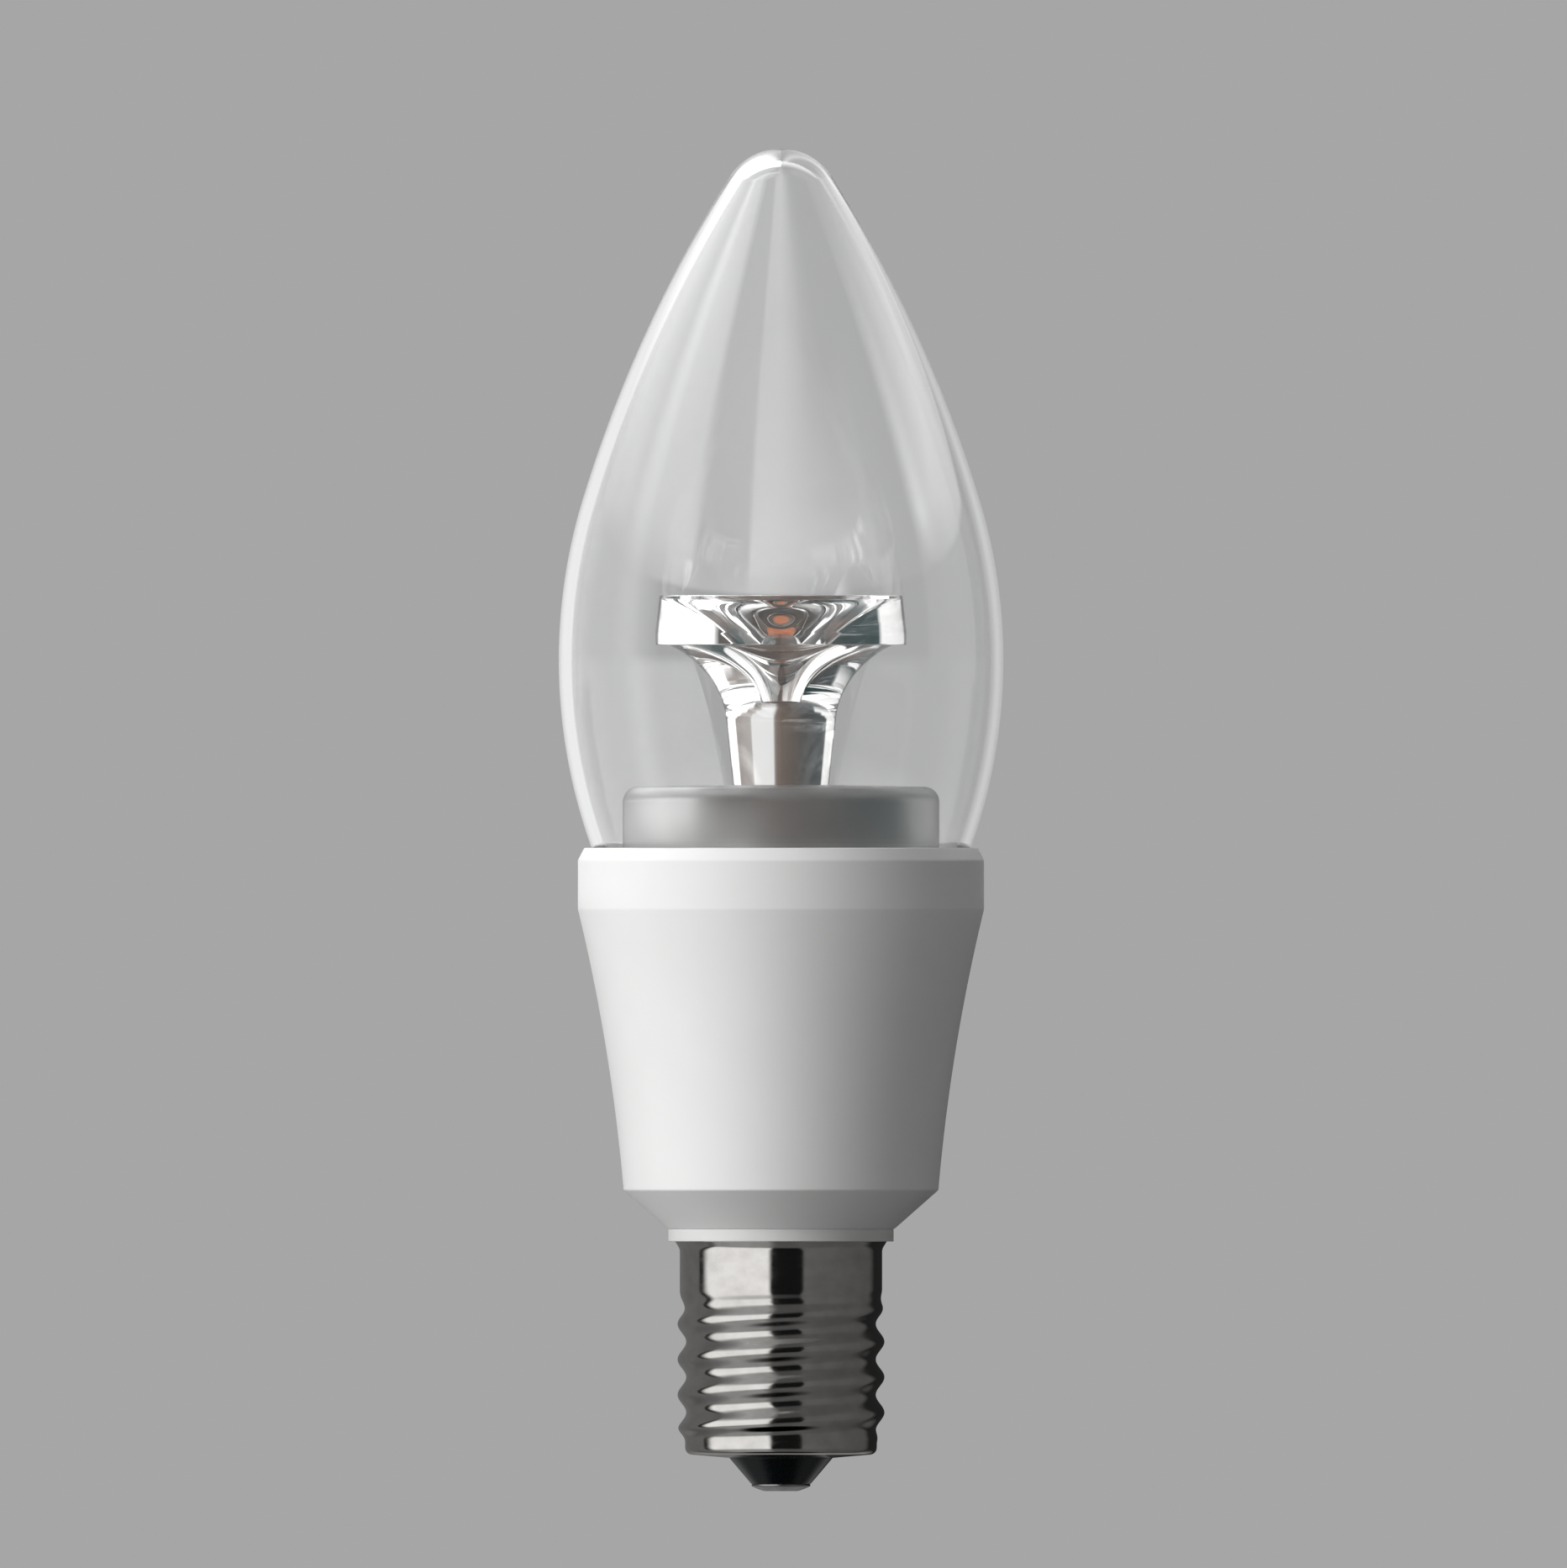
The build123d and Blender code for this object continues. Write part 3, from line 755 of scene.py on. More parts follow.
# Painted light: the phosphor of the unlit LED is given a faint glow in its own colour.
PHOSPHOR_AMBER = GrainFinish(
    "phosphor_amber", (0.9, 0.36, 0.2), (0.84, 0.3, 0.16), 0.5, (0.3, 0.5), 0.08, 3.0, painted_glow=0.3
)
BOARD_BRONZE = BoardFinish("board_bronze", (0.4, 0.34, 0.31), (0.34, 0.28, 0.25), 4.0, (0.35, 0.5))
PAD_GREY = GrainFinish("pad_grey", (0.42, 0.44, 0.47), (0.36, 0.38, 0.41), 1.2, (0.6, 0.8), 0.25, 10.0)
SCREW_STEEL = PlatedFinish("screw_steel", (0.62, 0.61, 0.59), (0.5, 0.49, 0.47), (0.2, 0.35), 0.08, 2.0)
PLATE_ALUMINIUM = LineFinish(
    "plate_aluminium", (0.74, 0.74, 0.74), (0.62, 0.62, 0.62), Wave.TURNED, 0.25, ORIGIN, (0.25, 0.4), 4.0
)
CASE_WHITE = GrainFinish("case_white", (0.84, 0.84, 0.8), (0.79, 0.79, 0.75), 4.0, (0.4, 0.6), 0.2, 4.0)
BOARD_GREEN = BoardFinish("board_green", (0.02, 0.11, 0.05), (0.04, 0.2, 0.09), 2.2, (0.25, 0.4))
CAN_DARK = GrainFinish(
    "can_dark", (0.018, 0.018, 0.028), (0.035, 0.035, 0.05), 2.5, (0.2, 0.35), 0.3, 3.0, coat=0.4
)
FERRITE = GrainFinish("ferrite", (0.05, 0.05, 0.05), (0.09, 0.088, 0.085), 0.6, (0.45, 0.7), 0.12, 8.0)
PACKAGE_BLACK = GrainFinish(
    "package_black", (0.02, 0.02, 0.02), (0.035, 0.035, 0.034), 0.8, (0.45, 0.65), 0.08, 4.0
)
FILM_BROWN = GrainFinish(
    "film_brown", (0.3, 0.09, 0.035), (0.22, 0.06, 0.022), 1.5, (0.2, 0.35), 0.6, 8.0, coat=0.5
)
CHIP_BROWN = GrainFinish("chip_brown", (0.26, 0.19, 0.12), (0.2, 0.14, 0.09), 0.4, (0.35, 0.55), 0.06, 2.0)
FUSE_GREEN = GrainFinish(
    "fuse_green", (0.1, 0.26, 0.19), (0.07, 0.2, 0.14), 0.8, (0.25, 0.4), 0.3, 5.0, coat=0.3
)
LEAD_WHITE = GrainFinish(
    "lead_white", (0.82, 0.82, 0.8), (0.75, 0.75, 0.72), 1.0, (0.35, 0.5), 0.2, 3.0, stretch=(1.0, 1.0, 4.0)
)
LEAD_RED = GrainFinish(
    "lead_red", (0.5, 0.03, 0.02), (0.4, 0.02, 0.015), 1.0, (0.3, 0.45), 0.2, 3.0, stretch=(1.0, 1.0, 4.0)
)
SOLDER = GrainFinish(
    "solder", (0.68, 0.68, 0.68), (0.55, 0.55, 0.56), 0.5, (0.2, 0.4), 0.2, 5.0, metallic=1.0
)


# Sub-assemblies


@dataclass
class SubAssembly:
    """Pieces that belong together, made as new surfaces or kept from the CAD model."""

    nodes: dict[str, Piece]
    edge: float = 0.12
    segments: int = 192

    def turned(self, name: str, node: str, slot: Slot, section: Section) -> Piece:
        """Adds the surface of a section carried round the axis, in place of a CAD node.

        Args:
            name: Name of the piece.
            node: CAD node that it stands for.
            slot: Material slot.
            section: Section of the piece.

        Returns:
            The piece.
        """
        rings = carried_round(section.points(), self.segments)
        return self.stand_in(name, node, slot, rings, section.closed)

    def stand_in(self, name: str, node: str, slot: Slot, rings: Floats, closed: bool) -> Piece:
        """Adds a surface given by its rings, in place of a CAD node.

        Args:
            name: Name of the piece.
            node: CAD node that it stands for.
            slot: Material slot; not used.
            rings: Points (ring, segment, xyz) in millimetres.
            closed: Whether the section is closed.

        Returns:
            The piece.
        """
        piece = closed_surface(name, rings, closed)
        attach(piece, BODY)
        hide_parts(node)
        LOG.info("%s stands for %s with %d faces", name, node, len(piece.data.polygons))
        return piece

    def dress(self, piece: Piece, finish: Finish) -> None:
        """Gives a piece its finish."""
        piece.data.materials.clear()
        piece.data.materials.append(material_of(finish))

    def dress_nodes(self, finishes: dict[str, Finish]) -> None:
        """Gives CAD nodes that stay in view their finishes.

        Args:
            finishes: Finish of each node.
        """
        for node, finish in finishes.items():
            self.dress(self.nodes[node], finish)
            LOG.info("%s is kept and gets %s", node, finish.name)

    def build(self) -> None:
        """Makes the sub-assembly's surfaces and dresses them."""
        raise NotImplementedError


@dataclass
class ScrewCap(SubAssembly):
    """Screw cap: plated shell with a rolled thread, black insulator, contact and the two leads."""

    contact_radius: float = 2.35
    contact_height: float = 0.55
    contact_flat: float = 1.3
    contact_dome: float = 0.4
    contact_curve: float = 4.7
    stem_radius: float = 0.9
    stem_top: float = 2.25
    stem_bore: float = 0.5
    insulator_neck: float = 4.13
    insulator_bore: float = 0.95
    insulator_flange: float = 6.7
    insulator_top: float = 4.851
    shell_z: float = 2.65
    shell_wall: float = 0.3
    mouth_radius: float = 4.18
    heel_radius: float = 7.65
    heel_rise: float = 0.3
    heel_cut: float = 0.596
    thread_z: float = 3.75
    thread_mean: float = 7.9075
    thread_throw: float = 0.3425
    thread_pitch: float = 2.822
    thread_start: float = 38.7
    heel_ramp: float = 1.5
    skirt_ramp: float = 1.2
    thread_fade: float = 2.4
    skirt_z: float = 16.1
    skirt_radius: float = 8.07
    flare_z: float = 19.3
    lip_z: float = 19.9
    lip_radius: float = 8.44
    heel_ease: float = 0.917
    thread_rows: int = 116
    dome_edge: float = 0.1
    disc_edge: float = 0.06
    fine_edge: float = 0.05
    flare_edge: float = 0.25

    def build(self) -> None:
        """Makes the contact, the insulator and the shell, and dresses them and the leads."""
        self.dress(self.contact(), CONTACT_PLATED)
        self.dress(self.insulator(), INSULATOR_BLACK)
        self.dress(self.shell(), SHELL_PLATED)
        self.dress_nodes({"live_lead": LEAD_RED, "neutral_lead": LEAD_WHITE})

    def contact(self) -> Piece:
        """Contact disc with a flattened dome below and a hollow stem above.

        Returns:
            The piece.
        """
        section = Section((0.0, 0.0), spacing=0.15)
        section.to((self.contact_flat, 0.0), self.dome_edge)
        section.to((self.contact_radius, self.contact_dome), self.disc_edge, self.contact_curve)
        section.to((self.contact_radius, self.contact_height), self.fine_edge)
        section.to((self.stem_radius, self.contact_height))
        section.to((self.stem_radius, self.stem_top), self.fine_edge)
        section.to((self.stem_bore, self.stem_top), self.fine_edge)
        section.to((self.stem_bore, self.contact_height)).to((0.0, self.contact_height))
        return self.turned("contact_disc", "centre_contact", Slot.CONTACT, section)

    def insulator(self) -> Piece:
        """Cone below the shell and a flange that lies on the shell's turned-in lip.

        Returns:
            The piece.
        """
        seat = self.shell_z + self.shell_wall * sqrt(1 + self.lip_slope() ** 2)
        rise = self.lip_slope() * (self.insulator_flange - self.mouth_radius)
        section = Section((self.insulator_bore, self.contact_height), spacing=0.2)
        section.to((self.contact_radius, self.contact_height), self.edge)
        section.to((self.insulator_neck, self.shell_z), self.fine_edge).to((self.insulator_neck, seat))
        section.to((self.insulator_flange, seat + rise), self.edge)
        section.to((self.insulator_flange, self.insulator_top), self.edge)
        section.to((self.insulator_bore, self.insulator_top)).close()
        return self.turned("insulator_cone", "cap_insulator", Slot.INSULATOR, section)

    def lip_slope(self) -> float:
        """Rise of the shell's turned-in lip for its reach."""
        return self.heel_rise / (self.heel_radius - self.mouth_radius)

    def shell(self) -> Piece:
        """Thin shell whose both faces follow the rolled thread, from the turned-in lip to the flared one.

        Returns:
            The piece.
        """
        foot = self.wall_rows(0.0)
        inside = self.wall_rows(self.shell_wall)[::-1]
        rings = self.threaded(np.concatenate([foot, inside]), self.segments)
        return self.stand_in("threaded_shell", "screw_shell", Slot.SHELL, rings, True)

    def wall_rows(self, inset: float) -> Floats:
        """Section of one face of the shell's wall, as rows (radius, height) with the thread's mean radius.

        The mean radius runs out to the plain heel and to the plain skirt over the height of each ramp.

        Args:
            inset: Distance of the face from the shell's outside.

        Returns:
            The rows, from the mouth up.
        """
        slope = self.lip_slope()
        lift = inset * sqrt(1 + slope**2)
        heel = self.heel_radius - inset
        corner = self.shell_z + self.heel_rise + lift - inset * slope
        low = Section((self.mouth_radius, self.shell_z + lift), spacing=0.25)
        low.to((heel, corner), self.heel_cut - self.heel_ease * inset).to((heel, self.thread_z))
        height = np.linspace(self.thread_z, self.skirt_z, self.thread_rows)[1:-1]
        foot = self.run_out(height - self.thread_z, self.heel_ramp)
        head = self.run_out(self.skirt_z - height, self.skirt_ramp)
        mean = self.thread_mean + (self.heel_radius - self.thread_mean) * (1 - foot)
        mean = mean + (self.skirt_radius - self.thread_mean) * (1 - head) - inset
        high = Section((self.skirt_radius - inset, self.skirt_z), spacing=0.25)
        high.to((self.skirt_radius - inset, self.flare_z), self.flare_edge)
        high.to((self.lip_radius - inset, self.lip_z))
        return np.concatenate([low.points(), np.column_stack([mean, height]), high.points()])

    def run_out(self, distance: Floats, ramp: float) -> Floats:
        """Share of the thread at a distance from its end: 3 s^2 - 2 s^3 of the share s of the ramp."""
        share = np.clip(distance / ramp, 0.0, 1.0)
        return share**2 * (3 - 2 * share)

    def threaded(self, rows: Floats, segments: int) -> Floats:
        """Carries rows round an axis that itself goes round the lamp's axis once in a pitch.

        At height z the ring is a circle of the row's radius whose centre is the throw times
        (cos b, sin b), with b the start angle plus a whole turn for each pitch above the thread's foot.

        Args:
            rows: Rows (radius, height).
            segments: Number of steps round the axis.

        Returns:
            Rings of points.
        """
        foot = self.run_out(rows[:, 1] - self.thread_z, self.heel_ramp)
        fade = self.run_out(self.skirt_z - rows[:, 1], self.thread_fade)
        throw = self.thread_throw * np.minimum(foot, fade)
        turn = radians(self.thread_start) + 2 * np.pi * (rows[:, 1] - self.thread_z) / self.thread_pitch
        rings = carried_round(rows, segments)
        rings[:, :, 0] += (throw * np.cos(turn))[:, None]
        rings[:, :, 1] += (throw * np.sin(turn))[:, None]
        return rings


@dataclass
class Housing(SubAssembly):
    """White heat sink and the ring that keeps the cap off it."""

    hole_radius: float = 7.465
    ring_z: float = 19.9
    ring_radius: float = 8.98
    foot_z: float = 20.9
    foot_radius: float = 9.04
    waist_z: float = 24.0
    waist_radius: float = 12.55
    taper_curve: float = 150.0
    band_z: float = 46.4
    band_radius: float = 16.192
    chamfer_z: float = 50.3
    rim_z: float = 51.3
    rim_radius: float = 15.682
    pocket_radius: float = 15.202
    ledge_z: float = 46.0
    ledge_radius: float = 14.002
    floor_z: float = 24.6
    floor_radius: float = 10.8
    ring_edge: float = 0.08

    def build(self) -> None:
        """Makes the ring and the heat sink and dresses them."""
        self.dress(self.ring(), RING_WHITE)
        self.dress(self.sink(), SINK_WHITE)

    def ring(self) -> Piece:
        """Thin ring with eased edges.

        Returns:
            The piece.
        """
        section = Section((self.hole_radius, self.ring_z), spacing=0.25)
        section.to((self.ring_radius, self.ring_z), self.ring_edge)
        section.to((self.ring_radius, self.foot_z), self.ring_edge)
        section.to((self.hole_radius, self.foot_z)).close()
        return self.turned("ring_disc", "insulating_ring", Slot.RING, section)

    def sink(self) -> Piece:
        """Body with a chamfered foot, a flared taper, an upright band, a chamfered rim and a stepped bore.

        Returns:
            The piece.
        """
        section = Section((self.hole_radius, self.foot_z), spacing=0.5)
        section.to((self.foot_radius, self.foot_z), self.edge)
        section.to((self.waist_radius, self.waist_z), self.edge)
        section.to((self.band_radius, self.band_z), self.edge, -self.taper_curve)
        section.to((self.band_radius, self.chamfer_z), self.edge)
        section.to((self.rim_radius, self.rim_z), self.edge)
        section.to((self.pocket_radius, self.rim_z), self.edge)
        section.to((self.pocket_radius, self.ledge_z)).to((self.ledge_radius, self.ledge_z))
        section.to((self.floor_radius, self.floor_z)).to((self.hole_radius, self.floor_z)).close()
        return self.turned("sink_body", "heat_sink", Slot.SINK, section)


@dataclass
class Globe(SubAssembly):
    """Clear globe and the bead that seals it into the heat sink."""

    belly_radius: float = 17.72
    belly_z: float = 66.25
    belly_curve: float = 44.0
    belly_angle: float = 17.0
    flank_curve: float = 108.0
    tip_curve: float = 4.83
    neck_radius: float = 14.602
    neck_curve: float = 3.0
    foot_z: float = 48.0
    wall: float = 1.0
    foot_edge: float = 0.3

    def build(self) -> None:
        """Makes the globe and dresses it and the bead."""
        section = Section((0.0, 0.0), spacing=0.45)
        outside, inside = self.wall_strokes(0.0), self.wall_strokes(self.wall)
        for stroke in outside[::-1][:-1]:
            section.stroke(stroke[::-1])
        section.stroke(outside[0][::-1], self.foot_edge)
        section.to(tuple(inside[0][0]), self.foot_edge)
        for stroke in inside:
            section.stroke(stroke)
        globe = self.turned("globe_glass", "globe", Slot.GLOBE, section)
        globe.visible_shadow = False
        self.dress(globe, GLOBE_CLEAR)
        self.dress_nodes({"globe_sealant": SEALANT_WHITE})

    def wall_strokes(self, inset: float) -> list[Floats]:
        """Strokes of one face of the wall: the neck's line, then the neck, belly, flank and tip arcs.

        Neighbouring arcs have a common tangent. The tip arc's centre lies on the axis, which gives its
        angle.

        Args:
            inset: Distance of the face from the globe's outside.

        Returns:
            The strokes.
        """
        belly = radians(self.belly_angle)
        reach = self.belly_curve + self.neck_curve
        neck = acos(1 - (self.belly_radius - self.neck_radius) / reach)
        belly_centre = (self.belly_radius - self.belly_curve, self.belly_z)
        step = self.flank_curve - self.belly_curve
        flank_centre = (belly_centre[0] - step * cos(belly), belly_centre[1] - step * sin(belly))
        tip_reach = self.flank_curve - self.tip_curve
        tip = acos(-flank_centre[0] / tip_reach)
        tip_centre = (0.0, flank_centre[1] + tip_reach * sin(tip))
        neck_centre = (self.neck_radius + self.neck_curve, self.belly_z - reach * sin(neck))
        side = self.neck_radius - inset
        return [
            np.array([[side, self.foot_z], [side, neck_centre[1]]]),
            arc_points(neck_centre, self.neck_curve + inset, pi, pi - neck),
            arc_points(belly_centre, self.belly_curve - inset, -neck, belly),
            arc_points(flank_centre, self.flank_curve - inset, belly, tip),
            arc_points(tip_centre, self.tip_curve - inset, tip, pi / 2),
        ]


@dataclass
class Optics(SubAssembly):
    """Frosted cover, clear light guide, and the light source with its board and screws."""

    plate_z: float = 48.0
    cover_radius: float = 12.632
    cover_top: float = 56.35
    cover_wall: float = 1.4
    cover_roof: float = 5.2
    cover_fillet: float = 1.2
    cover_crown: float = 0.15
    socket_gap: float = 0.05
    guide_foot: float = 50.5
    stem_radius: float = 3.83
    stem_draft: float = 6.13
    stem_top: float = 61.45
    throat_step: float = 0.55
    throat_z: float = 63.55
    throat_curve: float = 5.5
    head_z: float = 67.47
    flare_curve: float = 8.12
    shelf: float = 1.02
    head_radius: float = 10.02
    band_top: float = 68.42
    rim_top: float = 71.39
    rim_step: float = 0.33
    funnel_rim: float = 7.2
    funnel_lip: float = 0.47
    funnel_curve: float = 9.0
    funnel_tip: float = 1.05
    funnel_depth: float = 8.0
    glue_reach: float = 1.5
    cover_edge: float = 0.1
    crown_edge: float = 0.15
    socket_edge: float = 0.06
    bore_edge: float = 0.4
    guide_edge: float = 0.08
    stem_edge: float = 0.15
    throat_edge: float = 0.1
    head_edge: float = 0.07
    rim_edge: float = 0.06
    lip_edge: float = 0.02

    def build(self) -> None:
        """Makes the cover and the light guide, and dresses them and the light source."""
        cover, guide = self.cover(), self.guide()
        for piece, finish in ((cover, COVER_FROSTED), (guide, GUIDE_CLEAR)):
            piece.visible_shadow = piece is cover
            self.dress(piece, finish)
            self.glue(piece)
        self.dress_nodes(
            {
                "led_phosphor": PHOSPHOR_AMBER,
                "led_carrier": CERAMIC_TAN,
                "led_board": BOARD_BRONZE,
                "thermal_pad": PAD_GREY,
                "board_screws": SCREW_STEEL,
                "heat_plate": PLATE_ALUMINIUM,
                "led_leads": LEAD_WHITE,
                "lead_solder": SOLDER,
            }
        )

    def glue(self, piece: Piece) -> None:
        """Hides the joint of stem and socket: its faces on the piece get the look of a film of clear glue.

        Args:
            piece: Cover or light guide.
        """
        faces = piece.data.polygons
        centres = np.empty(3 * len(faces))
        faces.foreach_get("center", centres)
        x, y, z = centres.reshape(-1, 3).T / MM
        joint = np.hypot(x, y) < self.stem_radius + self.glue_reach * self.socket_gap
        joint &= (z > self.cover_top - self.cover_roof) & (z < self.cover_top)
        piece.data.materials.append(material_of(GLUE_CLEAR))
        faces.foreach_set("material_index", joint.astype(np.int32))

    def stem_at(self, height: float) -> float:
        """Radius of the light guide's tapered stem at a height."""
        return self.stem_radius + (height - self.cover_top) * tan(radians(self.stem_draft))

    def cover(self) -> Piece:
        """Block with a crowned top, a rounded edge, a tapered socket for the stem and a low hollow below.

        Returns:
            The piece.
        """
        shoulder, roof = self.cover_top - self.cover_crown, self.cover_top - self.cover_roof
        bore = self.cover_radius - self.cover_wall
        edge = (self.cover_radius - self.cover_fillet, shoulder - self.cover_fillet)
        section = Section((self.cover_radius, self.plate_z), spacing=0.35)
        section.to((self.cover_radius, edge[1]))
        section.stroke(arc_points(edge, self.cover_fillet, 0.0, pi / 2), self.crown_edge)
        section.to((self.stem_radius + self.socket_gap, self.cover_top), self.socket_edge)
        section.to((self.stem_at(roof) + self.socket_gap, roof), self.cover_edge)
        section.to((bore, roof), self.bore_edge)
        section.to((bore, self.plate_z), self.cover_edge).close(self.cover_edge)
        return self.turned("cover_block", "lens_cover", Slot.COVER, section)

    def guide(self) -> Piece:
        """Goblet: tapered stem, flared head and a trumpet funnel that turns the light sideways.

        Returns:
            The piece.
        """
        throat = (self.stem_at(self.stem_top) + self.throat_step, self.throat_z)
        tip = (self.funnel_tip, self.rim_top - self.funnel_depth)
        section = Section((0.0, self.guide_foot), spacing=0.22)
        section.to((self.stem_at(self.guide_foot), self.guide_foot), self.guide_edge)
        section.to((self.stem_at(self.stem_top), self.stem_top), self.stem_edge)
        section.to(throat, self.throat_edge, -self.throat_curve)
        section.to((self.head_radius - self.shelf, self.head_z), self.guide_edge, -self.flare_curve)
        section.to((self.head_radius, self.head_z), self.head_edge)
        section.to((self.head_radius, self.band_top), self.head_edge)
        section.to((self.head_radius - self.rim_step, self.rim_top), self.head_edge)
        section.to((self.funnel_rim, self.rim_top), self.rim_edge)
        section.to((self.funnel_rim, self.rim_top - self.funnel_lip), self.lip_edge)
        section.to(tip, self.guide_edge, self.funnel_curve).to((0.0, tip[1]))
        return self.turned("guide_goblet", "light_guide", Slot.GUIDE, section)


@dataclass
class Driver(SubAssembly):
    """Driver case, its board and what the board carries."""

    wire_pitch: float = 0.32

    def build(self) -> None:
        """Dresses the case, the board and the components."""
        low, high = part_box("transformer_winding")
        centre = tuple((low + high) / 2)
        wire = LineFinish(
            "copper",
            (0.72, 0.33, 0.15),
            (0.3, 0.11, 0.05),
            Wave.WOUND,
            self.wire_pitch,
            centre,
            (0.2, 0.35),
            40.0,
        )
        self.dress_nodes(
            {
                "driver_case": CASE_WHITE,
                "case_lid": CASE_WHITE,
                "driver_board": BOARD_GREEN,
                "bulk_capacitor": CAN_DARK,
                "output_capacitor": CAN_DARK,
                "transformer_core": FERRITE,
                "transformer_winding": wire,
                "bridge_rectifier": PACKAGE_BLACK,
                "film_capacitor": FILM_BROWN,
                "control_chip": PACKAGE_BLACK,
                "output_diode": PACKAGE_BLACK,
                "chip_parts": CHIP_BROWN,
                "fuse_resistor": FUSE_GREEN,
            }
        )


# Studio


class Panorama(Graph):
    """Shader tree of the surroundings, which reads the direction of sight."""

    def __init__(self, world: bpy.types.World) -> None:
        """Starts with the direction of sight as the coordinates.

        Args:
            world: Surroundings of the scene.
        """
        self.tree = world.node_tree
        self.background = self.tree.nodes["Background"]
        self.place = self.add("ShaderNodeTexCoord").outputs["Generated"]

    def paint(self, colour: Socket) -> None:
        """Gives the surroundings their colour at a strength of 1."""
        self.feed(self.background, {"Color": colour, "Strength": 1.0})


def greys(*levels: Point) -> Stops:
    """Stops of plain grey, given as angles and levels."""
    return tuple((angle, (level, level, level)) for angle, level in levels)


@dataclass(frozen=True)
class Softbox:
    """Soft lamp at an azimuth from the view's direction, to the right, and an elevation, in degrees."""

    name: str
    azimuth: float
    elevation: float
    distance: float
    size: Point
    power: float

    def build(self, target: Vector) -> None:
        """Hangs the lamp so that it faces a target.

        Args:
            target: Point that the lamp faces.
        """
        turn, rise = radians(self.azimuth), radians(self.elevation)
        away = Vector((sin(turn) * cos(rise), -cos(turn) * cos(rise), sin(rise)))
        data = bpy.data.lights.new(self.name, "AREA")
        data.shape = "RECTANGLE"
        data.size, data.size_y = self.size
        data.energy = self.power
        lamp = bpy.data.objects.new(self.name, data)
        lamp.location = target + away * self.distance
        lamp.rotation_euler = away.to_track_quat("Z", "Y").to_euler()
        lamp.visible_glossy = False
        lamp.visible_transmission = False
        lamp.visible_camera = False
        bpy.context.scene.collection.objects.link(lamp)
        LOG.info("lamp %s", self.name)


def drawn_in(stops: Stops, share: float) -> Stops:
    """Draws stops in towards the direction straight behind, to a share of their distance from it."""
    return tuple((copysign(180.0 - (180.0 - abs(angle)) * share, angle), level) for angle, level in stops)


@dataclass
class CapCards:
    """Barrel of light and dark cards round the cap, which only gloss shows."""

    barrel: tuple[Point, ...] = ((0.5, -95.0), (40.0, -95.0), (40.0, 28.0), (19.0, 47.0))
    under_z: Point = (-90.0, -60.0)
    low_z: Point = (-18.0, -5.0)
    high_z: Point = (28.0, 37.0)
    segments: int = 180
    under_panels: Stops = greys(
        (-168.0, 0.1), (-110.0, 0.05), (-70.0, 0.0), (70.0, 0.0), (110.0, 0.05), (168.0, 0.1),
    )
    level_panels: Stops = greys(
        (-168.0, 0.17), (-99.0, 0.18), (-97.0, 0.03), (-92.0, 0.03), (-84.0, 1.25), (-13.0, 1.25),
        (-10.0, 0.01), (22.0, 0.01), (24.0, 0.17), (112.0, 0.11), (123.0, 0.02), (168.0, 0.02),
    )
    low_panels: Stops = greys(
        (-150.0, 0.34), (-125.0, 0.12), (-95.0, 0.2), (-75.0, 0.4), (-20.0, 0.4), (-8.0, 0.12),
        (20.0, 0.12), (30.0, 0.14), (110.0, 0.1), (125.0, 0.05), (150.0, 0.34),
    )
    high_panels: Stops = greys(
        (-150.0, 0.2), (-100.0, 0.15), (-80.0, 0.3), (-60.0, 0.5), (-20.0, 0.45), (-8.0, 0.1),
        (20.0, 0.1), (30.0, 0.13), (110.0, 0.1), (125.0, 0.04), (168.0, 0.03),
    )

    def build(self) -> None:
        """Makes the barrel: its azimuth gives the card, and it is dimmer towards its foot and its top."""
        rings = carried_round(np.array(self.barrel), self.segments)
        faces = ring_faces(len(rings), self.segments, False)
        cards = surface_object("cap_cards", rings.reshape(-1, 3), faces.tolist())
        cards.visible_camera = cards.visible_shadow = False
        cards.visible_diffuse = cards.visible_transmission = False
        graph = Graph("cap_cards")
        tiers = (
            *zip(self.under_z, (self.under_panels, self.low_panels)),
            *zip(self.low_z, (self.low_panels, self.level_panels)),
            *zip(self.high_z, (self.level_panels, self.high_panels)),
        )
        colour = graph.tiers(tuple((z * MM, panels) for z, panels in tiers))
        material = graph.shade(
            Base_Color=(0.0, 0.0, 0.0, 1.0),
            Specular_IOR_Level=0.0,
            Emission_Color=colour,
            Emission_Strength=1.0,
        )
        material.cycles.emission_sampling = "NONE"
        cards.data.materials.append(material)


